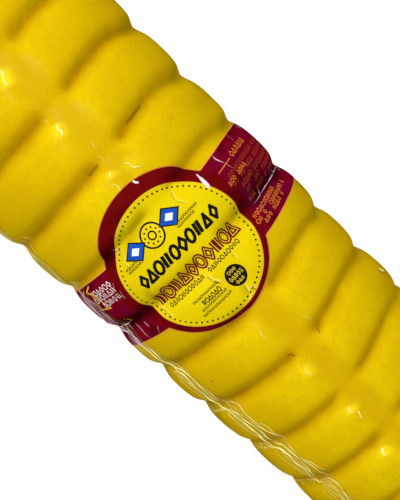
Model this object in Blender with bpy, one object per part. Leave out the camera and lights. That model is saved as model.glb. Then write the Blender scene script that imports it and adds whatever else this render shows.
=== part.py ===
"""A roped provolone bar in a clear shrink bag, lying on its side, with the printed label wrapped over it.

Blender 4.5, metres, +Z up. The bar runs along X, its origin is on the floor under its middle, and an angle
round the bar is measured from the top towards +Y.
"""

import math
import random

import bmesh
import bpy
from mathutils import Vector

# The bar, as it comes out of its ropes
BAR_HALF_LENGTH = 0.240
BAR_RADIUS = 0.0552
TAPER = 0.0022
TAPER_LENGTH = 0.130
CAP_LENGTH = 0.032
CAP_POWER = 2.4
BOTTOM_SAG = 0.0026

# The rope's turns round the bar: the ones the photograph shows, then the same pitch to both ends
SEEN_TURNS = (-0.1270, -0.0985, -0.0695, -0.0410, -0.0120, 0.0160, 0.0435, 0.0715, 0.0985)
TURN_PITCH = 0.0280
TURNS_LEFT = 3
TURNS_RIGHT = 4
GROOVE_DEPTH = 0.0024
GROOVE_DEPTH_SPREAD = 0.0004
GROOVE_WIDTH = 0.0046
LOBE_CROWN = 0.0013
LOBE_SPREAD = 0.0003
LUMP = 0.0003
WANDER = 0.0008

# The two channels that a lengthways rope left, one on top and one underneath
CHANNEL_DEPTH = 0.0013
CHANNEL_FLOOR = 0.0030
CHANNEL_EDGE = 0.0100
CHANNEL_ANGLE = math.radians(2.0)
CHANNEL_TWIST = math.radians(1.5)
CHANNEL_TWIST_LENGTH = 0.060

# The bag's two side pleats, where the flat tube of film was creased
PLEAT_ANGLE = math.radians(-57.5)
PLEAT_TWIST = math.radians(22.0)
PLEAT_MIDDLE = 0.025
PLEAT_TWIST_LENGTH = 0.140
PLEAT_WIDTH = 0.0050
PLEAT_HEIGHT = 0.0008
PLEAT_ROOT = 0.0010
PLEAT_END = 0.216
PLEAT_TIPS = (0.2190, 0.2220, 0.2248, 0.2274, 0.2298)
PLEAT_STEP = 0.0070
PLEAT_FOLLOW = 0.60
PLEAT_CLEARANCE = 0.0004
PLEAT_RUN_UP = 0.0050

# The flat sealed fin of film at each end
FIN_REACH = 0.016
FIN_ROOT_HALF_WIDTH = 0.045
FIN_TIP_HALF_WIDTH = 0.037
FIN_THICKNESS = 0.0012
FIN_WAVE = 0.0022
FIN_ROOT_DEPTH = 0.004
FIN_COLUMNS = 22
FIN_ROWS = 4

# The label: a round medallion on a band
LABEL_CENTRE_X = -0.0176
LABEL_ANGLE = math.radians(-5.8)
MEDALLION_RADIUS = 0.0352
BAND_WIDTH = 0.0384
BAND_HALF_LENGTH = 0.112
BAND_CORNER = 0.003
LABEL_THICKNESS = 0.0004
LABEL_GAP = 0.0004
LABEL_FOLLOW = 0.80
LABEL_WRAP_RADIUS = 0.0555

COLUMNS = 36
SLIVER = 0.00003
SEED = 11


def smoothstep(low, high, value):
    """0 below low, 1 above high, and a smooth rise between them."""
    t = min(1.0, max(0.0, (value - low) / (high - low)))
    return t * t * (3.0 - 2.0 * t)


def turn_stations():
    """Where each turn of the rope crossed the bar, from left to right."""
    left = [SEEN_TURNS[0] - TURN_PITCH * n for n in range(TURNS_LEFT, 0, -1)]
    right = [SEEN_TURNS[-1] + TURN_PITCH * n for n in range(1, TURNS_RIGHT + 1)]
    return [*left, *SEEN_TURNS, *right]


TURNS = turn_stations()
DRAW = random.Random(SEED)
TURN_DEPTHS = [DRAW.uniform(-1.0, 1.0) for _ in TURNS]
LOBE_FULLNESS = [DRAW.uniform(-1.0, 1.0) for _ in range(len(TURNS) + 1)]


def base_radius(x):
    """Radius over the lobes, which falls a little from left to right."""
    return BAR_RADIUS - TAPER * math.tanh(x / TAPER_LENGTH)


def centre_height(x):
    """Height of the bar's axis, so that its lobes lie on the floor."""
    return base_radius(max(-BAR_HALF_LENGTH, min(BAR_HALF_LENGTH, x))) - BOTTOM_SAG


def cap_factor(x):
    """Rounds the bar off at both ends: 1 along the bar, and 0 at its tips."""
    into = (abs(x) - (BAR_HALF_LENGTH - CAP_LENGTH)) / CAP_LENGTH
    if into <= 0.0:
        return 1.0
    return max(0.0, 1.0 - min(1.0, into) ** CAP_POWER) ** (1.0 / CAP_POWER)


def channel_distance(x, angle):
    """Distance round the bar to the nearer of the two channels."""
    twist = CHANNEL_ANGLE - CHANNEL_TWIST * math.tanh(x / CHANNEL_TWIST_LENGTH)
    away = abs((angle - twist + math.pi / 2) % math.pi - math.pi / 2)
    return away * BAR_RADIUS


def relief(x, angle):
    """How far the surface lies inside the full radius: grooves, crowned lobes, channels and slight lumps."""
    lobe = sum(1 for turn in TURNS if turn < x)
    near = min(range(len(TURNS)), key=lambda i: abs(TURNS[i] - x))
    off = abs(x - TURNS[near])
    apart = channel_distance(x, angle)
    beside = smoothstep(CHANNEL_FLOOR, CHANNEL_EDGE, apart)
    groove = (GROOVE_DEPTH + GROOVE_DEPTH_SPREAD * TURN_DEPTHS[near]) * math.exp(-((off / GROOVE_WIDTH) ** 2))
    rise = 1.0 - min(1.0, off / (TURN_PITCH / 2.0))
    crown = (LOBE_CROWN + LOBE_SPREAD * LOBE_FULLNESS[lobe] * (1.0 - rise)) * rise * rise
    full = LOBE_SPREAD * LOBE_FULLNESS[lobe] * (1.0 - rise) ** 2
    lump = LUMP * math.sin(3.0 * angle + 55.0 * x + 1.0)
    channel = CHANNEL_DEPTH * (1.0 - beside)
    return max(0.0, (groove + crown + full) * (0.25 + 0.75 * beside) + channel + lump + LUMP + LOBE_SPREAD)


def wander(x, angle):
    """How far a turn of the rope strays along the bar on its way round."""
    return WANDER * (math.sin(2.0 * angle + 40.0 * x) + 0.6 * math.sin(angle - 23.0 * x + 1.0))


def surface(x, angle, lift=0.0, follow=1.0):
    """A point on the bar, or over it by lift. A stiffer layer over it follows only a share of the relief."""
    radius = (base_radius(x) - follow * relief(x, angle)) * cap_factor(x) + lift
    along = x + wander(x, angle) * cap_factor(x)
    return Vector((along, radius * math.sin(angle), centre_height(x) + radius * math.cos(angle)))


def finish(name, mesh_maker, colour, roughness):
    """An object in the scene from a filled bmesh, with its own material."""
    mesh = bpy.data.meshes.new(name)
    bmesh.ops.recalc_face_normals(mesh_maker, faces=mesh_maker.faces)
    mesh_maker.to_mesh(mesh)
    mesh_maker.free()
    made = bpy.data.objects.new(name, mesh)
    bpy.context.scene.collection.objects.link(made)
    material = bpy.data.materials.new(name)
    material.use_nodes = True
    shader = material.node_tree.nodes["Principled BSDF"]
    shader.inputs["Base Color"].default_value = (*colour, 1.0)
    shader.inputs["Roughness"].default_value = roughness
    shader.inputs["Metallic"].default_value = 0.0
    mesh.materials.append(material)
    mesh.shade_smooth()
    return made


def bar_stations():
    """Places along the bar where its mesh has a ring: close together at a groove, and at each lobe's top."""
    rings = []
    for i, turn in enumerate(TURNS):
        rings += [turn + step for step in (-0.0065, -0.0028, 0.0, 0.0028, 0.0065)]
        if i + 1 < len(TURNS):
            rings.append((turn + TURNS[i + 1]) / 2.0)
    tips = [0.2220, 0.2270, 0.2320, 0.2360, 0.2388]
    return sorted([-x for x in tips] + rings + tips)


def column_angles():
    """Angles of the mesh's columns, closer together beside the two channels."""
    even = [2.0 * math.pi * n / COLUMNS for n in range(COLUMNS)]
    return [a - 0.25 * math.sin(2.0 * a) for a in even]


def build_bar():
    """The roped bar as one closed skin, flat where it lies on the floor."""
    shape = bmesh.new()
    angles = column_angles()
    rings = []
    for x in bar_stations():
        ring = []
        for angle in angles:
            point = surface(x, angle)
            point.z = max(0.0, point.z)
            ring.append(shape.verts.new(point))
        rings.append(ring)
    for one, two in zip(rings, rings[1:]):
        for n in range(COLUMNS):
            after = (n + 1) % COLUMNS
            shape.faces.new((one[n], one[after], two[after], two[n]))
    for ring, side in ((rings[0], -1.0), (rings[-1], 1.0)):
        x = side * BAR_HALF_LENGTH
        tip = shape.verts.new((x, 0.0, centre_height(x)))
        for n in range(COLUMNS):
            shape.faces.new((ring[n], ring[(n + 1) % COLUMNS], tip))
    return finish("bagged_cheese", shape, (0.80, 0.60, 0.02), 0.25)


def pleat_angle(x):
    """Where the front side pleat lies round the bar. The other one is opposite."""
    return PLEAT_ANGLE + PLEAT_TWIST * math.tanh((x - PLEAT_MIDDLE) / PLEAT_TWIST_LENGTH)


def pleat_stations():
    """Places along the bar where a pleat has a section, with closer ones where it steps over the label."""
    edge = BAND_WIDTH / 2.0 + 0.0010
    over = [LABEL_CENTRE_X + edge * share for share in (-1.0, -0.75, -0.5, -0.25, 0.0, 0.25, 0.5, 0.75, 1.0)]
    feet = [over[0] - PLEAT_RUN_UP, over[-1] + PLEAT_RUN_UP]
    count = round((feet[0] + PLEAT_END) / PLEAT_STEP)
    left = [-PLEAT_END + (feet[0] + PLEAT_END) * n / count for n in range(count)]
    count = round((PLEAT_END - feet[1]) / PLEAT_STEP)
    right = [feet[1] + (PLEAT_END - feet[1]) * n / count for n in range(1, count + 1)]
    return [*[-x for x in reversed(PLEAT_TIPS)], *left, feet[0], *over, feet[1], *right, *PLEAT_TIPS]


def over_the_label(x, angle):
    """Whether the label's band lies at this place."""
    round_the_bar = abs((angle - LABEL_ANGLE + math.pi) % (2.0 * math.pi) - math.pi) * LABEL_WRAP_RADIUS
    return abs(x - LABEL_CENTRE_X) < BAND_WIDTH / 2.0 + 0.002 and round_the_bar < BAND_HALF_LENGTH + 0.002


def build_pleat(name, turned):
    """A low ridge of folded film along the bag's side, arched over the label where they cross."""
    shape = bmesh.new()
    half = PLEAT_WIDTH / 2.0 / BAR_RADIUS
    label_top = LABEL_GAP + LABEL_THICKNESS
    rings = []
    for x in pleat_stations():
        middle = pleat_angle(x) + turned
        low, high = -PLEAT_ROOT, PLEAT_HEIGHT
        if over_the_label(x, middle):
            low, high = label_top + PLEAT_CLEARANCE, label_top + PLEAT_CLEARANCE + PLEAT_HEIGHT
        corners = ((-half, low), (half, low), (half * 0.7, high), (-half * 0.7, high))
        rings.append([shape.verts.new(surface(x, middle + side, lift, PLEAT_FOLLOW)) for side, lift in corners])
    for one, two in zip(rings, rings[1:]):
        for n in range(4):
            shape.faces.new((one[n], one[(n + 1) % 4], two[(n + 1) % 4], two[n]))
    shape.faces.new(rings[0])
    shape.faces.new(rings[-1])
    return finish(name, shape, (0.80, 0.60, 0.02), 0.25)


def build_fin(name, side):
    """The bag's flat sealed end: a thin wavy sheet across the tip, in the plane of the side pleats."""
    shape = bmesh.new()
    angle = pleat_angle(side * BAR_HALF_LENGTH)
    across = Vector((0.0, math.sin(angle), math.cos(angle)))
    normal = Vector((0.0, math.cos(angle), -math.sin(angle)))
    centre = Vector((0.0, 0.0, centre_height(side * BAR_HALF_LENGTH)))
    radius = base_radius(side * BAR_HALF_LENGTH)
    faces = []
    for half in (-FIN_THICKNESS / 2.0, FIN_THICKNESS / 2.0):
        sheet = []
        for row in range(FIN_ROWS + 1):
            v = row / FIN_ROWS
            line = []
            for column in range(FIN_COLUMNS + 1):
                u = 2.0 * column / FIN_COLUMNS - 1.0
                root = u * FIN_ROOT_HALF_WIDTH
                dome = CAP_LENGTH * (1.0 - (abs(root) / radius) ** CAP_POWER) ** (1.0 / CAP_POWER)
                start = BAR_HALF_LENGTH - CAP_LENGTH + dome - FIN_ROOT_DEPTH
                reach = start + v * (BAR_HALF_LENGTH + FIN_REACH - start)
                wide = u * (FIN_ROOT_HALF_WIDTH + v * (FIN_TIP_HALF_WIDTH - FIN_ROOT_HALF_WIDTH))
                wave = FIN_WAVE * v * math.sin(7.0 * u + 1.3 * side) * math.cos(3.0 * u)
                point = centre + across * wide + normal * (half + wave)
                point.x = side * reach
                line.append(shape.verts.new(point))
            sheet.append(line)
        faces.append(sheet)
    for sheet in faces:
        for row in range(FIN_ROWS):
            for column in range(FIN_COLUMNS):
                shape.faces.new((sheet[row][column], sheet[row][column + 1],
                                 sheet[row + 1][column + 1], sheet[row + 1][column]))
    rims = []
    for sheet in faces:
        right = [line[-1] for line in sheet[1:-1]]
        left = [line[0] for line in sheet[-2:0:-1]]
        rims.append([*sheet[0], *right, *reversed(sheet[-1]), *left])
    count = len(rims[0])
    for n in range(count):
        after = (n + 1) % count
        shape.faces.new((rims[0][n], rims[0][after], rims[1][after], rims[1][n]))
    return finish(name, shape, (0.80, 0.60, 0.02), 0.25)


def join_to(body, additions):
    """Fuses the loose film onto the bar by one Boolean union, then removes the pieces it used."""
    group = bpy.data.collections.new("additions")
    for piece in additions:
        group.objects.link(piece)
    union = body.modifiers.new("union", "BOOLEAN")
    union.operation = "UNION"
    union.operand_type = "COLLECTION"
    union.collection = group
    union.solver = "EXACT"
    apply_modifiers(body)
    for piece in additions:
        bpy.data.objects.remove(piece)
    bpy.data.collections.remove(group)
    merge_close(body)


def merge_close(body):
    """Clears the slivers that a union leaves where surfaces graze each other."""
    shape = bmesh.new()
    shape.from_mesh(body.data)
    bmesh.ops.remove_doubles(shape, verts=shape.verts, dist=SLIVER)
    bmesh.ops.dissolve_degenerate(shape, edges=shape.edges, dist=SLIVER)
    bmesh.ops.triangulate(shape, faces=[face for face in shape.faces if len(face.verts) > 4])
    shape.to_mesh(body.data)
    shape.free()


def apply_modifiers(body):
    """Replaces an object's mesh by the one its modifiers make."""
    bpy.context.view_layer.update()
    graph = bpy.context.evaluated_depsgraph_get()
    made = bpy.data.meshes.new_from_object(body.evaluated_get(graph))
    body.modifiers.clear()
    body.data = made
    made.shade_smooth()


def arc(centre_x, centre_y, radius, start, end, count):
    """Points on a circle from one angle to another, both ends included."""
    turns = [start + (end - start) * n / (count - 1) for n in range(count)]
    return [(centre_x + radius * math.cos(a), centre_y + radius * math.sin(a)) for a in turns]


def label_outline():
    """The label's outline laid flat: x along the bar from the label's middle, y round it."""
    half = BAND_WIDTH / 2.0
    meet = math.acos(half / MEDALLION_RADIUS)
    quarter = math.pi / 2.0
    corner_x = half - BAND_CORNER
    corner_y = BAND_HALF_LENGTH - BAND_CORNER
    right = arc(0.0, 0.0, MEDALLION_RADIUS, -meet, meet, 17)
    top = arc(corner_x, corner_y, BAND_CORNER, 0.0, quarter, 4) + arc(-corner_x, corner_y, BAND_CORNER,
                                                                      quarter, 2.0 * quarter, 4)
    left = arc(0.0, 0.0, MEDALLION_RADIUS, math.pi - meet, math.pi + meet, 17)
    bottom = arc(-corner_x, -corner_y, BAND_CORNER, 2.0 * quarter, 3.0 * quarter, 4) + arc(
        corner_x, -corner_y, BAND_CORNER, 3.0 * quarter, 4.0 * quarter, 4)
    return right + top + left + bottom


def flat_slab():
    """A flat sheet with the bar's own rings and columns on it, a little larger than the label."""
    reach_x = MEDALLION_RADIUS + 0.004
    reach_y = BAND_HALF_LENGTH + 0.008
    columns = sorted({round((a - LABEL_ANGLE + math.pi) % (2 * math.pi) - math.pi, 6) for a in column_angles()})
    ys = [a * LABEL_WRAP_RADIUS for a in columns if abs(a * LABEL_WRAP_RADIUS) < reach_y]
    xs = [x - LABEL_CENTRE_X for x in bar_stations() if abs(x - LABEL_CENTRE_X) < reach_x]
    xs = [-reach_x, *xs, reach_x]
    ys = [-reach_y, *ys, reach_y]
    shape = bmesh.new()
    levels = [[[shape.verts.new((x, y, z)) for y in ys] for x in xs] for z in (0.0, 1.0)]
    for level in levels:
        for one, two in zip(level, level[1:]):
            for n in range(len(ys) - 1):
                shape.faces.new((one[n], one[n + 1], two[n + 1], two[n]))
    rims = []
    for level in levels:
        rims.append([*level[0], *[line[-1] for line in level[1:]], *reversed(level[-1][:-1]),
                     *[line[0] for line in reversed(level[1:-1])]])
    count = len(rims[0])
    for n in range(count):
        after = (n + 1) % count
        shape.faces.new((rims[0][n], rims[0][after], rims[1][after], rims[1][n]))
    return finish("label", shape, (0.20, 0.005, 0.02), 0.35)


def build_label():
    """The printed label: its outline cut from a flat sheet, then wrapped over the bar."""
    label = flat_slab()
    cutter_shape = bmesh.new()
    rims = [[cutter_shape.verts.new((x, y, z)) for x, y in label_outline()] for z in (-1.0, 2.0)]
    count = len(rims[0])
    for n in range(count):
        after = (n + 1) % count
        cutter_shape.faces.new((rims[0][n], rims[0][after], rims[1][after], rims[1][n]))
    cutter_shape.faces.new(rims[0])
    cutter_shape.faces.new(rims[1])
    cutter = finish("label_outline", cutter_shape, (1.0, 1.0, 1.0), 0.5)
    cut = label.modifiers.new("outline", "BOOLEAN")
    cut.operation = "INTERSECT"
    cut.object = cutter
    cut.solver = "EXACT"
    apply_modifiers(label)
    bpy.data.objects.remove(cutter)
    for vertex in label.data.vertices:
        x, y, level = vertex.co
        lift = LABEL_GAP + LABEL_THICKNESS * level
        vertex.co = surface(LABEL_CENTRE_X + x, LABEL_ANGLE + y / LABEL_WRAP_RADIUS, lift, LABEL_FOLLOW)
    return label


def main():
    for old in list(bpy.data.objects):
        bpy.data.objects.remove(old)
    bar = build_bar()
    pleats = [build_pleat("pleat_front", 0.0), build_pleat("pleat_back", math.pi)]
    fins = [build_fin("fin_left", -1.0), build_fin("fin_right", 1.0)]
    join_to(bar, pleats + fins)
    build_label()


main()
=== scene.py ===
"""Looks for a roped provolone bar in a clear shrink bag: rind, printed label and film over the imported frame.

The bar lies along X with its origin on the floor. Angles round the bar are measured from the top towards +Y.
"""

import math
import random

import bpy
import numpy as np
from mathutils import Matrix, Vector


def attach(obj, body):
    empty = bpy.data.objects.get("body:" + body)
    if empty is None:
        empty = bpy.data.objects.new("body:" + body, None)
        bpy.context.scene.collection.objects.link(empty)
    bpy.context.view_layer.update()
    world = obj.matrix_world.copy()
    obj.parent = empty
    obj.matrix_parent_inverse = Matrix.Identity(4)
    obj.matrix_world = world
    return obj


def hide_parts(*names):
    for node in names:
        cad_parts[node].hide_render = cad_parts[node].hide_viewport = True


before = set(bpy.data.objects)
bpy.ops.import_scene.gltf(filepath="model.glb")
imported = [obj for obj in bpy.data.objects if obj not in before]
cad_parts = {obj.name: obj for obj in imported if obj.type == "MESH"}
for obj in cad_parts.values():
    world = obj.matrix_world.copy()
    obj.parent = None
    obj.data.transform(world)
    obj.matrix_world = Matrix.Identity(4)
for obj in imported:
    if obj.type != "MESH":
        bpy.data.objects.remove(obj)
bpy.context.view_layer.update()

bl_info = {
    "name": "Roped provolone bar",
    "version": (1, 0, 0),
    "blender": (4, 5, 0),
    "location": "View3D > Sidebar > Cheese",
    "description": "Builds a roped provolone bar in its clear bag, with its label",
    "category": "Add Mesh",
}

BODY = "root"
BAR_NODE = "bagged_cheese"
LABEL_NODE = "label"

# The bar and its rope marks, with the values of the part's source
BAR_HALF_LENGTH = 0.240
BAR_RADIUS = 0.0552
TAPER = 0.0022
TAPER_LENGTH = 0.130
CAP_LENGTH = 0.032
CAP_POWER = 2.4
BOTTOM_SAG = 0.0026
SEEN_TURNS = (-0.1270, -0.0985, -0.0695, -0.0410, -0.0120, 0.0160, 0.0435, 0.0715, 0.0985)
TURN_PITCH = 0.0280
TURNS_LEFT = 3
TURNS_RIGHT = 4
GROOVE_DEPTH = 0.0024
GROOVE_DEPTH_SPREAD = 0.0004
GROOVE_WIDTH = 0.0046
LOBE_CROWN = 0.0013
LOBE_SPREAD = 0.0003
LUMP = 0.0003
WANDER = 0.0008
CHANNEL_DEPTH = 0.0013
CHANNEL_FLOOR = 0.0030
CHANNEL_EDGE = 0.0100
CHANNEL_ANGLE = math.radians(2.0)
CHANNEL_TWIST = math.radians(1.5)
CHANNEL_TWIST_LENGTH = 0.060
SHAPE_SEED = 11

# Rope marks keep the first share of their depth across a channel, and lose the second one on the bar's flanks
CHANNEL_MARK_SHARE = 0.14
FLANK_MARK_LOSS = 0.28

# Painted shade in each rope mark: the strength, place beside the mark and width in metres of each part
MARK_SHADES = ((0.46, 0.0014, 0.0034), (0.40, -0.0003, 0.0018))

# The painted shade of each rope mark, a brown tint that stands in for shade and bounced light: its middle
# beside the mark, and how far it reaches to the left and right
TINT_MIDDLE = -0.0015
TINT_REACH = (0.0052, 0.0036)

# How far from a channel's middle the painted shade of the rope marks begins and is full
CHANNEL_FADE = (0.0020, 0.0120)

# Width of the painted shade where the label dips into the rope marks
LABEL_MARK_WIDTH = 0.0036

# The painted shade of the rope marks and of the bar's sides grows towards the thicker end: where along the bar
# that begins, and where it is full
THICK_END_START = -0.050
THICK_END_FULL = -0.090

# The side pleats of the bag
PLEAT_ANGLE = math.radians(-57.5)
PLEAT_TWIST = math.radians(22.0)
PLEAT_MIDDLE = 0.025
PLEAT_TWIST_LENGTH = 0.140

# The label laid flat
LABEL_CENTRE_X = -0.0176
LABEL_ANGLE = math.radians(-5.8)
LABEL_WRAP_RADIUS = 0.0555
MEDALLION_CENTRE = (-0.9, -0.4)
BAND_HALF_LENGTH = 0.112
BAND_CORNER = 0.003
MEDALLION_STEP = 0.0004
BAND_STEP = 0.0007
LABEL_COLUMNS = 131
DISC_CENTRE = 1.55

# The band drifts along the bar by this many mm at these mm round it
DRIFT_ROUND = (-112.0, -63.0, -50.0, -38.0, -30.0, -25.0, 25.0, 30.0, 41.0, 53.0, 66.0, 85.0, 112.0)
DRIFT = (-2.0, -2.0, -1.6, -0.8, -0.35, 0.0, 0.0, 0.3, -0.4, -1.1, -1.2, -0.9, -0.9)

# Each rope mark has a steeper wall towards -X than towards +X, and strays by this many mm at these degrees
STEEP_SIDE = 0.75
EASY_SIDE = 1.15
STRAY_ANGLES = (-180.0, -75.0, -62.0, -50.0, -38.0, -26.0, -14.0, 0.0, 14.0, 26.0, 38.0, 50.0, 62.0, 75.0,
                180.0)
STRAY = (0.0, 0.3, 0.4, 1.0, 1.3, 1.6, 2.0, 1.2, 0.7, -0.4, -1.0, -0.4, 1.8, 1.4, 0.0)

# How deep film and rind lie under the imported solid's surface
FILM_INSET = 0.00005
RIND_INSET = 0.00022

# The share of the rope marks' depth that the film sinks into
FILM_FOLLOW = 0.95

# How deep the label lies under the film, how far the ink lifts off it, and how deep its crumples are
LABEL_UNDER_FILM = 0.00009
INK_LIFT = 0.00003
CRUMPLE_DEPTH = 0.00005

# Least radii of rind and film at the tips, and how far the rind stays off the floor and inside the tips
LEAST_RIND_RADIUS = 0.0004
LEAST_FILM_RADIUS = 0.0002
RIND_OFF_FLOOR = 0.0004
TIP_INSET = 0.0004

# Puckers of the film in the rope marks: spacing, reach along the bar, and depth away from a pleat and at one
PUCKER_PITCH = 0.0042
PUCKER_REACH = 0.005
PUCKER_DEPTH = 0.00006
PLEAT_PUCKER_DEPTH = 0.00030
PLEAT_PUCKER_REACH = 0.012

# How far the film gathers outwards on its way to the sealed ends, and how close its gathers are round the bar
END_GATHER = 0.0014
GATHER_ROUND = 0.05
GATHER_LENGTH = 0.006

# Strips of film along the creases: points across each, shares of the given sizes, least lift and slack
STRIP_COLUMNS = 9
STRIP_WIDTH_SHARE = 0.52
STRIP_HEIGHT_SHARE = 0.55
STRIP_LIFT = 0.00002
STRIP_SLACK = 0.00012
CREASE_STEP = 0.0005
STRAND_STEP = 0.0007

# The strips widen on the flanks, where they are seen at a slant, until the angle's cosine falls to this
LEAST_FLARE_COSINE = 0.45

# Sines of the angles round the bar between which a crease begins to bridge the marks and to have a side of
# painted shade
BRIDGING_SLOPES = (0.62, 0.85)
SHADED_SLOPES = (0.50, 0.65)

# Rounds in which a crease is turned until it lines up with its path as the camera sees it
SIGHT_ROUNDS = 5

# Beyond the angle with this cosine the camera sees no creases, and they stay as they are
LEAST_SEEN_COSINE = 0.12

# Seeds of the first crease of each piece, the strands and the ribs
CREASE_SEED = 300
STRAND_SEED = 41
RIB_SEED = 42

# The camera: the place it aims at along the bar, its height over the axis and its step to the side in metres
CAMERA_AIM = -0.00675
CAMERA_HEIGHT = 0.410
CAMERA_SIDE = -0.0002
CAMERA_TILT = math.radians(8.1)
CAMERA_TURN = math.radians(42.65)

# The photo's middle and focal length in its pixels, and the corner and zoom of the cut-out for the strands
PHOTO_MIDDLE = (200.0, 250.0)
FOCAL_PIXELS = 880.1047
CUT_CORNER = (120.0, 320.0)
CUT_ZOOM = 7.0

# The film that the cut-out shows: from, to and step, in metres along the bar and in degrees round it
CUT_ALONG = (-0.060, 0.135, 0.00025)
CUT_ROUND = (-84, -25, 0.1)

# The side pleats in metres: half their length and width, where their edge begins, mesh, lift and ribs
PLEAT_REACH = 0.228
PLEAT_HALF_WIDTH = 0.0048
PLEAT_FLAT_HALF_WIDTH = 0.0028
PLEAT_STEP = 0.0009
PLEAT_COLUMNS = 25
PLEAT_SEEDS = (28, 29)
PLEAT_LIFT = 0.00008
LEAST_PLEAT_LIFT = 0.00001
PLEAT_RIB_HEIGHT = 0.00004
PLEAT_RIB_LENGTH = 0.00028

# The sealed ends in metres: half their width at the bar, how much they narrow, and their overlap with it
SEAL_HALF_WIDTH = 0.045
SEAL_TAPER = 0.008
SEAL_OVERLAP = 0.0015

# The floor, and where each light stands and how large it is, in metres
FLOOR_HALF_SIZE = 4.0
FLOOR_DROP = 0.0003
LIGHT_AIM = (0.0, 0.0, 0.05)
KEY_LIGHT = ((-0.35, -0.06, 1.00), 0.05)
SIDE_LIGHT = ((-0.85, 0.05, 1.05), 0.80)
FILL_LIGHT = ((0.0, 0.0, 1.50), 1.60)
WHITE = (1.0, 1.0, 1.0, 1.0)

MM = 0.001


def turn_stations():
    """Where each turn of the rope crossed the bar, from left to right."""
    left = [SEEN_TURNS[0] - TURN_PITCH * n for n in range(TURNS_LEFT, 0, -1)]
    right = [SEEN_TURNS[-1] + TURN_PITCH * n for n in range(1, TURNS_RIGHT + 1)]
    return np.array([*left, *SEEN_TURNS, *right])


TURNS = turn_stations()
DRAW = random.Random(SHAPE_SEED)
TURN_DEPTHS = np.array([DRAW.uniform(-1.0, 1.0) for _ in TURNS])
LOBE_FULLNESS = np.array([DRAW.uniform(-1.0, 1.0) for _ in range(len(TURNS) + 1)])


def wrapped(angle):
    """The same angle, between half a turn back and half a turn on."""
    return (angle + math.pi) % (2.0 * math.pi) - math.pi


def from_nearer_side(angle):
    """The same angle, measured from the nearer of two opposite lines along the bar."""
    return (angle + math.pi / 2) % math.pi - math.pi / 2


def arc_place(along_mm, degrees):
    """A place on the bar's surface in metres, along the bar and round it."""
    return along_mm * MM, math.radians(degrees) * BAR_RADIUS


def smoothstep(low, high, value):
    """0 below low, 1 above high, and a smooth rise between them."""
    t = np.clip((value - low) / (high - low), 0.0, 1.0)
    return t * t * (3.0 - 2.0 * t)


def bell(value, width):
    """1 where the value is 0, falling smoothly to about 0 beyond two widths on either side."""
    return np.exp(-((value / width) ** 2))


def base_radius(x):
    """Radius over the lobes, which falls a little from left to right."""
    return BAR_RADIUS - TAPER * np.tanh(x / TAPER_LENGTH)


def centre_height(x):
    """Height of the bar's axis, so that its lobes lie on the floor."""
    return base_radius(np.clip(x, -BAR_HALF_LENGTH, BAR_HALF_LENGTH)) - BOTTOM_SAG


def cap_factor(x):
    """Rounds the bar off at both ends: 1 along the bar, and 0 at its tips."""
    into = np.clip((np.abs(x) - (BAR_HALF_LENGTH - CAP_LENGTH)) / CAP_LENGTH, 0.0, 1.0)
    return (1.0 - into**CAP_POWER) ** (1.0 / CAP_POWER)


def end_stations(count):
    """Places along the bar where its rounded end narrows in even steps down to the tip."""
    share = np.linspace(0.94, 0.0, count)
    return BAR_HALF_LENGTH - CAP_LENGTH + CAP_LENGTH * (1.0 - share**CAP_POWER) ** (1.0 / CAP_POWER)


def stations(step):
    """Places along the whole bar, about one step apart, closer together at its rounded ends."""
    ends = end_stations(round(BAR_RADIUS / step / 1.5))
    body = linspace_steps(-ends[0], ends[0], step)[1:-1]
    return np.concatenate([-ends[::-1], body, ends])


def channel_offset(x, angle):
    """Signed distance round the bar from the nearer of the two channels."""
    twist = CHANNEL_ANGLE - CHANNEL_TWIST * np.tanh(x / CHANNEL_TWIST_LENGTH)
    return from_nearer_side(angle - twist) * BAR_RADIUS


def beside_channel(x, angle):
    """0 along a channel's floor, and 1 beyond its edge."""
    return smoothstep(CHANNEL_FLOOR, CHANNEL_EDGE, np.abs(channel_offset(x, angle)))


def stray(angle):
    """How far the rope marks are moved along the bar at each angle round it."""
    return np.interp(np.degrees(wrapped(angle)), STRAY_ANGLES, STRAY) * MM


def turn_offset(x, angle):
    """Signed distance along the bar from the nearest rope mark, and that mark's number."""
    apart = (x - stray(angle))[..., None] - TURNS
    near = np.abs(apart).argmin(axis=-1)
    return np.take_along_axis(apart, near[..., None], axis=-1)[..., 0], near


def relief(x, angle):
    """How far the rind lies inside the full radius: grooves, crowned lobes, channels and slight lumps."""
    signed, near = turn_offset(x, angle)
    off = np.abs(signed) / np.where(signed < 0.0, STEEP_SIDE, EASY_SIDE)
    lobe = ((x - stray(angle))[..., None] > TURNS).sum(axis=-1)
    beside = beside_channel(x, angle)
    groove = (GROOVE_DEPTH + GROOVE_DEPTH_SPREAD * TURN_DEPTHS[near]) * bell(off, GROOVE_WIDTH)
    rise = 1.0 - np.minimum(1.0, off / (TURN_PITCH / 2.0))
    fullness = LOBE_SPREAD * LOBE_FULLNESS[lobe]
    crown = (LOBE_CROWN + fullness * (1.0 - rise)) * rise * rise
    full = fullness * (1.0 - rise) ** 2
    lump = LUMP * np.sin(3.0 * angle + 55.0 * x + 1.0)
    channel = CHANNEL_DEPTH * (1.0 - beside)
    kept = CHANNEL_MARK_SHARE + (1.0 - CHANNEL_MARK_SHARE) * beside
    kept = kept * (1.0 - FLANK_MARK_LOSS * smoothstep(0.75, 0.97, np.abs(np.sin(angle))))
    return np.maximum(0.0, (groove + crown + full) * kept + channel + lump + LUMP + LOBE_SPREAD)


def wander(x, angle):
    """How far a turn of the rope strays along the bar on its way round."""
    return WANDER * (np.sin(2.0 * angle + 40.0 * x) + 0.6 * np.sin(angle - 23.0 * x + 1.0))


def place(x, angle, radius):
    """Points of the row frame at these distances from the bar's axis."""
    along = x + wander(x, angle) * cap_factor(x)
    height = np.maximum(0.0, centre_height(x) + radius * np.cos(angle))
    return np.stack([along, radius * np.sin(angle), height], axis=-1)


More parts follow.
